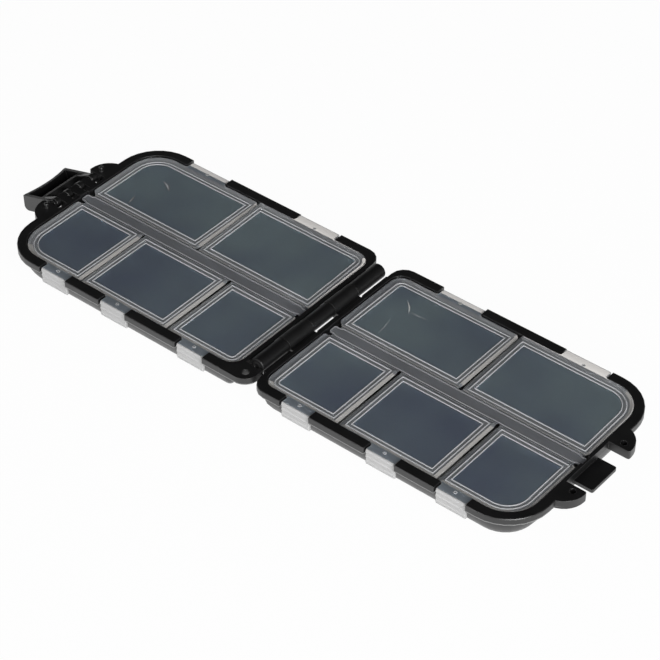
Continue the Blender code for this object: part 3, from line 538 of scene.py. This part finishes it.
def paint_border(lid, kinds, fold, start, end):
    """Changes the finish numbers of the border's strips: at both ends, at slits, along the fold and the tab
    of a near lid, and last on the tab's roof. The pale finishes at the ends that face the light and along
    the near tabs are painted light, and the grey one at the ends that face away and along the near fold is
    painted shade."""
    border = kinds[BORDER]
    # painted light: the pale border stays only at the end that faces the light
    border[:, (end if lid["side"] == COVER else start) < AT_END] = FLANGE
    # painted shade at the cover's ends that face away, painted light at the base's hinge end
    if lid["side"] == COVER:
        border[:, start > AT_END] = SHADE
    elif lid["outer"][0]:
        border[:PALE_STATIONS, start > AT_END] = TAB_PALE_AND_LIT
    for outer, columns in zip(lid["outer"], FOLD_CORNERS):
        if not outer:
            kinds[BORDER_AND_WALL, columns] = FLANGE
    # painted shade along the near fold, painted light along the near tab's side
    if lid["row"] == NEAR:
        border[:, fold > AT_FOLD] = SHADE
        border[:, TAB_SIDE] = EDGE_AND_LIT
    roof = TAB_PALE_AND_LIT if lid["row"] == FAR else TAB_ROOF
    kinds[ROOF_STATION, TAB_COLUMNS] = roof
    kinds[ROOF_STATION + 1, TAB_COLUMNS] = roof if lid["tilt"] else TAB_ROOF


print("the border takes", len(BORDER_TOP), "strips of", FIRST_TOP + len(BORDER_TOP + INNER_TOP))

# %% [markdown]
# Now the plate itself. A lid that isn't quite shut is worked out lying flat like the others, and then every
# ring is lifted by its distance from the fold. The panel's flat faces are wide, so each is closed by one
# small ring in its middle.

# %% Lid plate
FOLD_DROP = 0.05 * MM
MIDDLE_SHARE = 0.01


def top_plane(v):
    """Height of the lid's top side, without beads and border: a straight line that falls from the fold."""
    return LID_TOP - TOP_DROP + TOP_SLOPE * (v - FOLD_V)


def tilted(lid, rings):
    """A lid that isn't quite shut: z rises by tilt * (distance from the fold)."""
    rings[..., 2] += lid["tilt"] * (np.abs(rings[..., 1]) - FOLD_V)
    return rings


def shrunk(ring):
    """A ring drawn towards its centre, so that a wide flat face becomes even wedges round a small middle."""
    centre = ring.mean(axis=0)
    return centre + MIDDLE_SHARE * (ring - centre)


def lid_plate(lid):
    """The lid's stack of rings: section stations against outline points. On top the border's height is
    rise * (1 - fold - ends) + slope * ends, so that it stands up along the tab's side, slopes outwards
    at the ends and is missing at the fold."""
    fold, start, end = side_shares(lid)
    ends = start * (lid["side"] == BASE or not lid["outer"][0]) + end * (not lid["outer"][1])
    rings, kinds = [], []
    for inset, height, tab, kind in UNDERSIDE:
        u, v = lid_ring(lid, inset, tab)
        rings.append(place(lid["side"], lid["row"], u, v, LID_TOP + height))
        kinds.append(np.full(len(u), kind))
    for inset, rise, slope, tab, kind in BORDER_TOP + INNER_TOP:
        u, v = lid_ring(lid, inset, tab)
        height = rise * (1 - fold - ends) + slope * ends
        if inset > BEAD_OUT - BEAD_HALF - SKIN:
            height = rise
        level = top_plane(v) + height - FOLD_DROP * fold * (inset < BEAD_OUT + BEAD_HALF + SKIN)
        rings.append(place(lid["side"], lid["row"], u, v, level))
        kinds.append(np.full(len(u), kind))
    rings = [shrunk(rings[0])] + rings + [shrunk(rings[-1])]
    kinds = np.array([kinds[0]] + kinds)
    paint_border(lid, kinds, fold, start, end)
    return tilted(lid, np.array(rings)), kinds, PANEL, PANEL


print("the plane falls by", round(-TOP_SLOPE * (LID_SIDE - FOLD_V) / MM, 2), "mm from fold to tab")

# %% [markdown]
# Plastic was let into the mould at the roof of each tab, which leaves a round mark. It is a few rings on
# the roof, because a mark painted on would have no rim to catch the light.

# %% Gate mark
GATE_PLACE, GATE_PLACE_AJAR = 1.1 * MM, 0.3 * MM
GATE_STEPS = 20
GATE_RINGS = ((0.85 * MM, -SKIN), (0.83 * MM, 0.03 * MM), (0.65 * MM, 0.15 * MM), (0.4 * MM, 0.05 * MM))


def gate_mark(lid):
    """The round mark where the plastic was let into the mould: rings of a radius and a height above the
    tab's roof, with a rim that stands up round a lower middle."""
    turn = np.radians(np.linspace(0, 360, GATE_STEPS, endpoint=False))
    centre = LID_SIDE + (GATE_PLACE_AJAR if lid["tilt"] else GATE_PLACE)
    roof = top_plane(centre) + BORDER_RISE
    rings = []
    for radius, rise in GATE_RINGS:
        u, v = lid["tab_at"] + radius * np.cos(turn), centre + radius * np.sin(turn)
        rings.append(place(lid["side"], lid["row"], u, v, roof + rise))
    kind = TAB_FRONT if lid["row"] == FAR else BEAD
    return tilted(lid, np.array(rings)), kind, kind, FLANGE


print("gate marks are", round(2 * GATE_RINGS[0][0] / MM, 1), "mm across")

# %% [markdown]
# Two of the far lids show soft pale streaks of reflected light, like bent hairs or small smudges, and these
# highlights are painted. A painted texture would need its own coordinates, so each streak is a hair-thin
# lens of the same plastic, lying on the panel and tapered to nothing. A smudge is two of them: a bright
# narrow one that stands a little higher than a faint wide one.

# %% Painted highlight streaks
MARK_STEPS = 24


def highlight_streak(start, end, bulge, width, rise=0.03):
    """A lens-shaped strip from one point to another, as x and y in millimetres. Its middle line is bent
    sideways by bulge * sin(pi t), and its width goes with sin(pi t)."""
    t = np.linspace(0.02, 0.98, MARK_STEPS)
    x = start[0] + (end[0] - start[0]) * t
    y = start[1] + (end[1] - start[1]) * t
    length = math.hypot(end[0] - start[0], end[1] - start[1])
    across_x, across_y = (start[1] - end[1]) / length, (end[0] - start[0]) / length
    rounded = np.sin(np.pi * t)
    x, y = (x + bulge * rounded * across_x) * MM, (y + bulge * rounded * across_y) * MM
    half = width * rounded / 2 * MM
    level = top_plane(abs(y))
    left = np.stack([x - half * across_x, y - half * across_y, level], axis=-1)
    right = np.stack([x + half * across_x, y + half * across_y, level], axis=-1)
    top, bottom = [np.stack([x, y, level + step * MM], axis=-1) for step in (rise, -rise)]
    return np.stack([left, top, right, bottom], axis=1)


HIGHLIGHT_STREAKS = {
    "cover_lid_far_1": [
        (highlight_streak((92.0, 33.8), (97.8, 27.1), 0.7, 0.6), TAB_FRONT),
        (highlight_streak((97.0, 28.7), (106.5, 29.0), -0.2, 0.35), BEAD),
        (highlight_streak((94.0, 20.0), (95.9, 8.9), 0.3, 0.3), BEAD),
    ],
    "base_lid_far_2": [
        (highlight_streak((-43.4, 30.4), (-36.1, 26.4), 0.6, 1.7), FLANGE),
        (highlight_streak((-42.9, 30.1), (-36.9, 26.8), 0.6, 0.9, rise=0.06), BEAD),
        (highlight_streak((-45.9, 15.0), (-44.2, 7.9), 0.2, 1.2), FLANGE),
        (highlight_streak((-45.8, 14.2), (-44.4, 8.4), 0.2, 0.5, rise=0.06), EDGE_AND_LIT),
    ],
}
# these are painted highlights
print("flow marks:", sum(len(marks) for marks in HIGHLIGHT_STREAKS.values()))

# %% [markdown]
# The part of the tab that hangs outside the rim is a second stack. Its section is a plate with three ridges
# on the front, carried along the lid's edge, and its two end rings are drawn in to round the corners.

# %% Grip tab
TAB_FACE, TAB_THICK = 48.6 * MM, 1.2 * MM
TAB_LOW, TAB_SEAM = 8.3 * MM, 16.2 * MM
RIDGES, RIDGE_PITCH, RIDGE_START = 3, 2.55 * MM, 8.65 * MM
RIDGE_RISE, RIDGE_FULLNESS = 0.3 * MM, 1.4
FRONT_STEPS = 64
TAB_ROUND = 0.3 * MM


def tab_section():
    """A closed section of the tab, as v and z: front with ridges, rounded foot, back. Over each ridge the
    front stands out by rise * (-fullness * cos), cut off at nothing and at the full rise."""
    z = np.linspace(TAB_SEAM - 2 * SKIN, TAB_LOW + 2 * TAB_ROUND, FRONT_STEPS)
    along = (z - RIDGE_START) / RIDGE_PITCH
    ridged = (along > 0) & (along < RIDGES)
    front = TAB_FACE + ridged * RIDGE_RISE * np.clip(-RIDGE_FULLNESS * np.cos(2 * np.pi * along), 0, 1)
    foot = arc(TAB_FACE - 2 * TAB_ROUND, TAB_LOW + 2 * TAB_ROUND, 2 * TAB_ROUND, 0, -90, 6)
    heel = arc(TAB_FACE - TAB_THICK + TAB_ROUND, TAB_LOW + TAB_ROUND, TAB_ROUND, 270, 180, 4)
    head_v = [TAB_FACE - TAB_THICK, TAB_FACE - TAB_ROUND, TAB_FACE]
    head_z = [TAB_SEAM, TAB_SEAM, TAB_SEAM - SKIN]
    v = np.concatenate([front, foot[0], heel[0], head_v])
    return v, np.concatenate([z, foot[1], heel[1], head_z])


def inwards(v, z, step):
    """Moves a closed section's points inwards by a step, at right angles to the line through each one's
    neighbours."""
    along_v, along_z = np.roll(v, -1) - np.roll(v, 1), np.roll(z, -1) - np.roll(z, 1)
    size = np.hypot(along_v, along_z)
    return v + step * along_z / size, z - step * along_v / size


def grip_tab(lid):
    """The tab's stack: its section at stations along u, drawn in at both ends by round * (1 - sin a). The
    front of a far tab is cut back there too, so that its corners look round from above."""
    v, z = tab_section()
    half = lid["tab_width"] / 2
    corner = TAB_CORNERS[FAR] if lid["row"] == FAR else TAB_ROUND
    rings = []
    for towards, turns in ((-1, np.linspace(0, 90, 5)), (1, np.linspace(90, 0, 5))):
        for turn in np.radians(turns):
            at = lid["tab_at"] + towards * (half - corner * (1 - math.cos(turn)))
            section_v, section_z = inwards(v, z, TAB_ROUND * (1 - math.sin(turn)))
            if lid["row"] == FAR:
                reach = TAB_FACE + RIDGE_RISE - (corner - TAB_ROUND + RIDGE_RISE) * (1 - math.sin(turn))
                section_v = np.minimum(section_v, reach)
            rings.append(place(lid["side"], lid["row"], at, section_v, section_z))
    return tilted(lid, np.array(rings)), TAB_FRONT, TAB_FRONT, TAB_FRONT


print("points of a tab's section:", len(tab_section()[0]))

# %% [markdown]
# The near row of each half has three lids and the far row has two. The ten could be modelled one by one,
# but they differ in a few sizes only. Splits and tabs are shares of a row's length. Slits are widths in
# millimetres, from the hinge outwards: two pairs of lids in the base all but touch. Two of the far lids
# aren't pressed quite home, and their tilt is the rise over the distance from the fold.

# %% Sizes of the ten lids
NEAR_SPLITS, FAR_SPLITS = (0.305, 0.695), (0.5035,)
NEAR_TABS, FAR_TABS = (0.165, 0.507, 0.780), (0.253, 0.7525)
NEAR_TAB_WIDTH, FAR_TAB_WIDTH = 14.4 * MM, 22.2 * MM
WELL_RADIUS_HINGE, WELL_RADIUS_LATCH, SMALL_RADIUS = 6.0 * MM, 14.0 * MM, 1.5 * MM
SLITS = {(BASE, NEAR): (0.9, 0.3), (BASE, FAR): (0.3,), (COVER, NEAR): (0.9, 0.9), (COVER, FAR): (0.9,)}
AJAR = {"base_lid_far_1": 0.026, "cover_lid_far_2": 0.026}


def slits_of_row(side, row):
    """Where the lids of one row meet: the middle of each slit and half its width."""
    splits = NEAR_SPLITS if row == NEAR else FAR_SPLITS
    return [(WELL_U0 + WELL_LENGTH * share, width * MM / 2) for share, width in zip(splits, SLITS[side, row])]


def lids_of_row(side, row):
    """The sizes of each lid of one row, from the hinge outwards."""
    tabs, width = (NEAR_TABS, NEAR_TAB_WIDTH) if row == NEAR else (FAR_TABS, FAR_TAB_WIDTH)
    slits = slits_of_row(side, row)
    starts = [LID_U0] + [middle + gap for middle, gap in slits]
    ends = [middle - gap for middle, gap in slits] + [LID_U1]
    half, name = ("base" if side == BASE else "cover"), ("near" if row == NEAR else "far")
    for number, (u0, u1, share) in enumerate(zip(starts, ends, tabs), 1):
        node, outer = f"{half}_lid_{name}_{number}", (u0 == LID_U0, u1 == LID_U1)
        yield {
            "node": node,
            "body": f"{half}_{name}_{number}",
            "side": side,
            "row": row,
            "u0": u0,
            "u1": u1,
            "outer": outer,
            "radii": (
                WELL_RADIUS_HINGE if outer[0] else SMALL_RADIUS,
                WELL_RADIUS_LATCH if outer[1] else SMALL_RADIUS,
            ),
            "tab_width": width,
            "tab_at": LID_U0 + (LID_U1 - LID_U0) * share,
            "tilt": AJAR.get(node, 0),
        }


print("ajar by degrees:", {node: round(math.degrees(math.atan(tilt)), 1) for node, tilt in AJAR.items()})

# %% Make the ten lids
for side in (BASE, COVER):
    for row in (NEAR, FAR):
        for lid in lids_of_row(side, row):
            stacks = [lid_plate(lid), grip_tab(lid), gate_mark(lid)]
            stacks += [(rings, kind, kind, kind) for rings, kind in HIGHLIGHT_STREAKS.get(lid["node"], [])]
            name = lid["node"] + "_moulding"
            piece = solid(name, stacks, lid_finishes, lid["body"], [lid["node"]])
            print(piece.name, len(piece.data.polygons), "faces")

# %% [markdown]
# ## The spine strips
#
# Each set of lids folds from one strip of the same plastic down the middle of its half. A raised band runs
# along it, and at each end a rounded tongue sits in a slot of the rim. Two stacks of rings make it: the
# flat strip, whose edges step back at each slit between lids, and the band with its tongues.

# %% Spine strips
STRIP_HALF, BAND_HALF, TONGUE_HALF = 3.65 * MM, 2.9 * MM, 2.15 * MM
STRIP_MARGIN, STRIP_ROUND = 2.4 * MM, 0.15 * MM
TONGUE_REACH, TONGUE_ROUND, LEAST_TONGUE_ROUND = 0.8 * MM, 1.05 * MM, 0.1 * MM
FLARE_START, FLARE_LENGTH = 2.5 * MM, 1.5 * MM
STRIP_TOP, BAND_LIFT = LID_TOP - 0.3 * MM, 0.02 * MM
STRIP, BAND_EDGE = range(2)
spine_finishes = [
    milky_plastic("milky_strip", (0.62, 0.64, 0.68), 0.82),
    milky_plastic("milky_band_edge", (0.66, 0.67, 0.69), 0.65),
]


def notched_edge(side, row, u0, u1, inset):
    """One long edge of the strip, drawn in by an inset: at each slit between lids it steps back to the
    band."""
    corners = [(u0 + inset, STRIP_HALF - inset)]
    for middle, gap in slits_of_row(side, row):
        reach = gap + SLIT_FLARE + inset
        corners += [(middle - reach, STRIP_HALF - inset), (middle - reach, BAND_HALF - inset)]
        corners += [(middle + reach, BAND_HALF - inset), (middle + reach, STRIP_HALF - inset)]
    corners += [(u1 - inset, STRIP_HALF - inset)]
    return np.array(corners)


def notched_ring(side, u0, u1, inset):
    """The strip's outline: the near edge towards the latch, and the far edge back."""
    near, far = [notched_edge(side, row, u0, u1, inset) for row in (NEAR, FAR)]
    return np.concatenate([near[:, 0], far[::-1, 0]]), np.concatenate([-near[:, 1], far[::-1, 1]])


def strip(side, u0, u1, low, high):
    """The flat strip with a rounded top edge: inset = edge * (1 - cos a),
    height = top - edge * (1 - sin a)."""
    turn = np.radians(np.linspace(0, 90, 5))
    stations = [(STRIP_ROUND, low), (0, low + STRIP_ROUND)]
    stations += [(STRIP_ROUND * (1 - math.cos(a)), high - STRIP_ROUND * (1 - math.sin(a))) for a in turn]
    rings = [place(side, 1, *notched_ring(side, u0, u1, inset), level) for inset, level in stations]
    return np.array(rings), STRIP, STRIP, STRIP


def flared_ring(u0, u1, inset):
    """The outline of band and tongues: half the width is that of a tongue near both ends, rounded with
    half - r + sqrt(r^2 - (r - d)^2) at a distance d from the end, and swells smoothly to that of the
    band."""
    radius = max(TONGUE_ROUND - inset, LEAST_TONGUE_ROUND)
    turn = np.radians(np.linspace(0, 90, 7))
    gap = np.concatenate([radius * (1 - np.cos(turn)), FLARE_START + FLARE_LENGTH * np.linspace(0, 1, 7)])
    rounded = radius * (1 - np.sqrt(1 - np.clip(1 - gap / radius, 0, 1) ** 2))
    share = np.clip((gap - FLARE_START) / FLARE_LENGTH, 0, 1)
    half = TONGUE_HALF + (BAND_HALF - TONGUE_HALF) * share**2 * (3 - 2 * share) - inset - rounded
    u = np.concatenate([u0 + inset + gap, (u1 - inset - gap)[::-1]])
    v = np.concatenate([half, half[::-1]])
    return np.concatenate([u, u[::-1]]), np.concatenate([v, -v[::-1]])


def band(side, u0, u1, low, high):
    """The raised band with its tongues. Its edge is a half-round bead, so that the middle lies lower:
    inset = half * (1 - cos a), height = top + rise * sin a."""
    turn = np.radians(np.linspace(0, 180, 7))
    stations = [(0, low)] + [(BEAD_HALF * (1 - math.cos(a)), high + BEAD_HEIGHT * math.sin(a)) for a in turn]
    rings = [place(side, 1, *flared_ring(u0, u1, inset), level) for inset, level in stations]
    kinds = np.array([STRIP] + [BAND_EDGE] * (len(rings) - 2))[:, None]
    return np.array(rings), kinds, STRIP, STRIP


for side, half in ((BASE, "base"), (COVER, "cover")):
    low = LID_TOP - LID_EDGE
    stacks = [
        strip(side, LID_U0 + STRIP_MARGIN, LID_U1 - STRIP_MARGIN, low, STRIP_TOP),
        band(side, LID_U0, LID_U1 + TONGUE_REACH, low + SKIN, STRIP_TOP + BAND_LIFT),
    ]
    name, node = f"{half}_spine_moulding", f"{half}_lid_spine"
    piece = solid(name, stacks, spine_finishes, half, [node])
    print(piece.name, len(piece.data.polygons), "faces")

# %% [markdown]
# ## The shells and the latch lever
#
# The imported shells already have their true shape: tub, flange, compartments, knuckles, ears. What they lack
# is soft shading and the small rounding of moulded edges. Both could be modelled anew, but a copy of each
# does it: it is merged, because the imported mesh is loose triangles, its flat faces are joined, and a Bevel
# modifier rounds the edges before the normals are weighted.

# %% Shells and lever
FLAT_ANGLE, EDGE_ANGLE, SOFT_ANGLE = 1, 50, 35
EDGE_RADIUS = 0.25 * MM


def smooth_copy(node, name, finish, body):
    """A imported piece's mesh, merged, shaded smooth up to the soft angle and rounded at its sharp edges."""
    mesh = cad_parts[node].data.copy()
    mesh.name = name
    mesh.materials.clear()
    mesh.materials.append(finish)
    mesh.polygons.foreach_set("material_index", np.zeros(len(mesh.polygons), np.int32))
    work = bmesh.new()
    work.from_mesh(mesh)
    bmesh.ops.remove_doubles(work, verts=work.verts, dist=WELD)
    bmesh.ops.dissolve_limit(work, angle_limit=math.radians(FLAT_ANGLE), verts=work.verts, edges=work.edges)
    work.to_mesh(mesh)
    work.free()
    piece = finished(name, mesh, body, [node], SOFT_ANGLE)
    rounding = piece.modifiers.new("rounded_edges", "BEVEL")
    rounding.width = EDGE_RADIUS
    rounding.segments = 2
    rounding.limit_method = "ANGLE"
    rounding.angle_limit = math.radians(EDGE_ANGLE)
    rounding.harden_normals = True
    piece.modifiers.move(1, 0)
    return piece


for node, name, finish, body, slot in (
    ("base_shell", "base_tub", shell_black, "base", "base_plastic"),
    ("cover_shell", "cover_tub", shell_black, "cover", "cover_plastic"),
    ("latch_lever", "latch_lever_moulding", latch_black, "latch", "latch_plastic"),
):
    piece = smooth_copy(node, name, finish, body)
    print(piece.name, len(piece.data.polygons), "faces")

# %% [markdown]
# ## The hinge barrel
#
# The five knuckles look like one thick rod with fine joints. Turning gives that in one step: a profile of
# radius against length, carried round the hinge axis. Each sleeve is a little thicker than the packed
# knuckle inside it, with rounded ends, and rides on the half that its knuckle belongs to. The cover's two
# are a touch thicker than the base's three, and rougher, so that the rod doesn't look like one piece of
# pipe.

# %% Hinge sleeves
AXIS_Z = 17.15 * MM
SLEEVE_RADII, JOINT = {"base": 3.42 * MM, "cover": 3.55 * MM}, 0.1 * MM
KNUCKLE_ENDS = np.array((-39.2, -22.3, -7.0, 7.0, 22.3, 41.0)) * MM
OUTER_ROUND, JOINT_ROUND = 0.7 * MM, 0.12 * MM
SLEEVE_STEPS = 56


def sleeve(radius, y0, y1, round0, round1):
    """A turned sleeve: x = hinge + r cos a, z = axis + r sin a, where r falls by round * (1 - sin b) at
    both ends."""
    bend = np.radians(np.linspace(0, 90, 6))
    y = np.concatenate([y0 + round0 * (1 - np.cos(bend)), (y1 - round1 * (1 - np.cos(bend)))[::-1]])
    drop = np.concatenate([round0 * (1 - np.sin(bend)), (round1 * (1 - np.sin(bend)))[::-1]])
    turn = np.radians(np.linspace(0, 360, SLEEVE_STEPS, endpoint=False))
    y, radius = y[:, None], radius - drop[:, None]
    x, z = HINGE_X + radius * np.cos(turn), AXIS_Z + radius * np.sin(turn)
    return np.stack(np.broadcast_arrays(x, y, z), axis=-1)


knuckle_blacks = {
    "base": black_plastic("knuckle_black", 0.8 * MM, 0.01 * MM, 0.003, roughness=0.46, gloss=0.5),
    "cover": black_plastic("knuckle_mottled", 1.1 * MM, 0.05 * MM, 0.003, roughness=0.52, gloss=0.5),
}
for number, (y0, y1) in enumerate(zip(KNUCKLE_ENDS[:-1] + JOINT, KNUCKLE_ENDS[1:] - JOINT), 1):
    body = "base" if number % 2 else "cover"
    round0 = OUTER_ROUND if number == 1 else JOINT_ROUND
    round1 = OUTER_ROUND if number == len(KNUCKLE_ENDS) - 1 else JOINT_ROUND
    stack = (sleeve(SLEEVE_RADII[body], y0, y1, round0, round1), 0, 0, 0)
    piece = solid(f"hinge_sleeve_{number}", [stack], [knuckle_blacks[body]], body)
    print(piece.name, len(piece.data.polygons), "faces")

# %% [markdown]
# ## Small bars beside the barrel and in the latch
#
# A low lip on the cover's rim narrows the gap beside the barrel. A web under the latch lugs closes the gap
# below them, with a small pad on both sides. The lever has two full fingers beside the catch and low straps
# below its path. All are short bars across the box: one section in u and z, carried along y, with the end
# rings drawn in so that the ends are rounded.

# %% Bars across the box
BAR_ROUND = 0.15 * MM


def across(side, u, z, y0, y1):
    """A bar: its closed section at stations along y, drawn in by round * (1 - sin a) at both ends."""
    turn = np.radians(np.linspace(0, 90, 4))
    ends = BAR_ROUND * (1 - np.cos(turn))
    steps = BAR_ROUND * (1 - np.sin(turn))
    y = np.concatenate([y0 + ends, (y1 - ends)[::-1]])
    sections = [inwards(u, z, step) for step in np.concatenate([steps, steps[::-1]])]
    rings = np.array([place(side, 1, section[0], level, section[1]) for level, section in zip(y, sections)])
    return rings, 0, 0, 0


def bars(side, section, spans):
    """One bar of the same section over each span of y, in millimetres."""
    return [across(side, *section, y0 * MM, y1 * MM) for y0, y1 in spans]


def box_section(u0, u1, z0, z1):
    """A rectangle with rounded corners, as arrays of u and z, from its four sides in millimetres."""
    left, right = u0 * MM + BAR_ROUND, u1 * MM - BAR_ROUND
    low, high = z0 * MM + BAR_ROUND, z1 * MM - BAR_ROUND
    parts = [
        arc(right, low, BAR_ROUND, 0, -90, 4),
        arc(left, low, BAR_ROUND, 270, 180, 4),
        arc(left, high, BAR_ROUND, 180, 90, 4),
        arc(right, high, BAR_ROUND, 90, 0, 4),
    ]
    return np.concatenate([part[0] for part in parts]), np.concatenate([part[1] for part in parts])


wide_lip, narrow_lip = box_section(3.8, 5.3, 13.8, 16.8), box_section(4.55, 5.3, 13.8, 16.8)
lips = bars(COVER, wide_lip, [(-39.6, -23.0)]) + bars(COVER, narrow_lip, [(-6.4, 6.4), (23.0, 39.6)])
solid("cover_hinge_lips", lips, [shell_black], "cover")
web, pad = box_section(135.5, 139.8, 12.3, 13.1), box_section(138.0, 143.0, 12.6, 16.9)
under_lugs = bars(BASE, web, [(-14.2, 14.2)]) + bars(BASE, pad, [(-14.6, -13.5), (13.5, 14.6)])
solid("base_latch_web", under_lugs, [shell_black], "base")
print("lips:", len(lips), "web and pads:", len(under_lugs))

# %% [markdown]
# The cover's ears have a hole each, which takes a peg of the base when the box is shut. Seen from above the
# holes are blind, so a small round floor closes each from below, deeper than the peg reaches.

# %% Floors of the ears' holes
HOLE_U, HOLE_V, FLOOR_RADIUS, FLOOR_STEPS = 140.5 * MM, 17.4 * MM, 1.5 * MM, 24
FLOOR_LOW, FLOOR_HIGH = 13.1 * MM, 14.3 * MM


def ear_floor(row):
    """A disc of a small height: u = hole + r cos a, v = hole + r sin a."""
    u, v = arc(HOLE_U, HOLE_V, FLOOR_RADIUS, 0, 360 - 360 / FLOOR_STEPS, FLOOR_STEPS)
    return np.array([place(COVER, row, u, v, z) for z in (FLOOR_LOW, FLOOR_HIGH)]), 0, 0, 0


solid("cover_ear_floors", [ear_floor(row) for row in (NEAR, FAR)], [shell_black], "cover")
print("floor of a hole:", round(2 * FLOOR_RADIUS / MM, 1), "mm across")

# %% [markdown]
# The lever's fingers turn with it, so they are drawn in the lever's own directions: s along it and n up
# from it, from the pivot. At rest the lever droops a little, and a turn by that angle puts a section where
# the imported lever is.

# %% Fingers of the lever
PIVOT_U, PIVOT_Z, DROOP = 141.0 * MM, 15.6 * MM, math.radians(16)
FINGER_HEEL, FINGER_TIP, FINGER_BOTTOM = 2.0 * MM, 8.2 * MM, -4.9 * MM
FINGER_ARC_START, FINGER_ARC_STEPS = 215, 12


def finger(radius, arc_end, top):
    """A finger's section, as u and z: an arc round the pivot, the corners of the top, and the two at the
    bottom. Then u = pivot + s cos d + n sin d and z = pivot - s sin d + n cos d, with d the droop."""
    arc_s, arc_n = arc(0, 0, radius, FINGER_ARC_START, arc_end, FINGER_ARC_STEPS)
    s = np.array([*arc_s, *(corner[0] for corner in top), FINGER_TIP, FINGER_HEEL])
    n = np.array([*arc_n, *(corner[1] for corner in top), FINGER_BOTTOM, FINGER_BOTTOM])
    u = PIVOT_U + s * math.cos(DROOP) + n * math.sin(DROOP)
    return u, PIVOT_Z - s * math.sin(DROOP) + n * math.cos(DROOP)


full_finger = finger(2.35 * MM, 80, [(FINGER_TIP, 0.8 * MM)])
low_strap = finger(2.3 * MM, 20, [(3.0 * MM, -3.2 * MM), (FINGER_TIP, -3.2 * MM)])
fingers = bars(BASE, full_finger, [(-12.1, -9.9), (9.9, 12.1)])
fingers += bars(BASE, low_strap, [(-4.9, -2.5), (2.5, 4.9)])
solid("lever_fingers", fingers, [latch_black], "latch")
print("fingers and straps of the lever:", len(fingers))

# %% [markdown]
# ## The pins
#
# Both pins are plain drawn wire. They hardly show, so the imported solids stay, with a steel finish.

# %% Steel pins
WIRE_LINE, ALONG_WIRE = 0.08 * MM, 0.05


def drawn_steel(name):
    """Bare steel wire: noise stretched along the pin gives the fine drawing lines."""
    material, tree, where, output = new_finish(name)
    stretched = add(tree, "Mapping", {"Vector": where, "Scale": (1, ALONG_WIRE, 1)}).outputs["Vector"]
    lines = speckle(tree, stretched, WIRE_LINE)
    inputs = {
        "Base Color": tint(tree, between(tree, lines, 0, 1), (0.50, 0.50, 0.49), (0.66, 0.66, 0.65)),
        "Metallic": 1.0,
        "Roughness": between(tree, lines, 0.25, 0.4),
    }
    tree.links.new(add(tree, "BsdfPrincipled", inputs).outputs["BSDF"], output.inputs["Surface"])
    return material


pin_steel = drawn_steel("drawn_pin_steel")
for node in ("hinge_pin", "latch_pin"):
    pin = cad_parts[node]
    pin.data.materials.clear()
    pin.data.materials.append(pin_steel)
    print(node, "is", pin_steel.name)

# %% [markdown]
# ## Floor and light
#
# The photograph has a pure white ground with almost no shadow, and its light comes from the sides more than
# from above: the tops of the black shells stay nearly black while their walls mirror the white ground. The
# floor is white to the camera and in reflections, and keeps a little of the shadow.

# %% Floor
HALF_FLOOR, FLOOR_Z = 2.0, -0.05 * MM
PAPER_DARK, PAPER_LIGHT, PAPER_CLOUD = (0.80, 0.80, 0.80), (0.84, 0.84, 0.84), 0.4
WHITE_SHARE = 0.97

corners = np.array([(-1, -1, 0), (1, -1, 0), (1, 1, 0), (-1, 1, 0)]) * HALF_FLOOR + (0, 0, FLOOR_Z)
floor_mesh = bpy.data.meshes.new("floor")
floor_mesh.from_pydata(corners.tolist(), [], [(0, 1, 2, 3)])
floor = bpy.data.objects.new("floor", floor_mesh)
bpy.context.scene.collection.objects.link(floor)
material, tree, ground, output = new_finish("white_ground")
paper = tint(tree, speckle(tree, ground, PAPER_CLOUD), PAPER_DARK, PAPER_LIGHT)
diffuse = add(tree, "BsdfDiffuse", {"Color": paper})
glow = add(tree, "Emission", {"Color": (1, 1, 1, 1), "Strength": 1.0})
path = add(tree, "LightPath")
seen = calculate(tree, "ADD", path.outputs["Is Camera Ray"], path.outputs["Is Glossy Ray"])
seen = calculate(tree, "ADD", seen, path.outputs["Is Transmission Ray"])
share = calculate(tree, "MULTIPLY", seen, WHITE_SHARE, use_clamp=True)
mix = add(tree, "MixShader", {0: share, 1: diffuse.outputs[0], 2: glow.outputs[0]})
tree.links.new(mix.outputs[0], output.inputs["Surface"])
floor_mesh.materials.append(material)
print("floor is", 2 * HALF_FLOOR, "m wide, and white to", WHITE_SHARE)

# %% [markdown]
# The sky is bright near the horizon and dim above, which lights the walls of the shells and leaves their
# tops dark. A large soft lamp on the right of the box lights the tabs and rims, and a weaker one in front
# fills in.

# %% Lamps and sky
SKY_FADE, SKY_ABOVE = 0.22, 0.03
CENTRE = (0.064, 0, 0.01)

world = bpy.data.worlds.new("sky")
bpy.context.scene.world = world
world.use_nodes = True
sky_tree = world.node_tree
sky = sky_tree.nodes["Background"]
towards = add(sky_tree, "SeparateXYZ", {0: add(sky_tree, "TexCoord").outputs["Generated"]})
fade = ramp(sky_tree, towards.outputs["Z"], 0.0, SKY_FADE, 1.0, SKY_ABOVE, interpolation_type="SMOOTHSTEP")
sky_tree.links.new(fade, sky.inputs["Strength"])
sky.inputs["Color"].default_value = (1, 1, 1, 1)


def lamp(name, stands, aim, size, power):
    """A square soft lamp that faces a point. Its place, its aim and its size are in metres."""
    data = bpy.data.lights.new(name, "AREA")
    data.size = size
    data.energy = power
    made = bpy.data.objects.new(name, data)
    bpy.context.scene.collection.objects.link(made)
    made.location = stands
    made.rotation_euler = (Vector(aim) - Vector(stands)).to_track_quat("-Z", "Y").to_euler()
    made.visible_transmission = False
    return made


lamps = [
    lamp("side_lamp", stands=(1.4, -0.8, 0.85), aim=CENTRE, size=0.9, power=34),
    lamp("near_lamp", stands=(-0.4, -1.5, 1.0), aim=CENTRE, size=0.9, power=8),
]
print("lamps:", [made.name for made in lamps])

bpy.context.scene.view_settings.view_transform = "Standard"
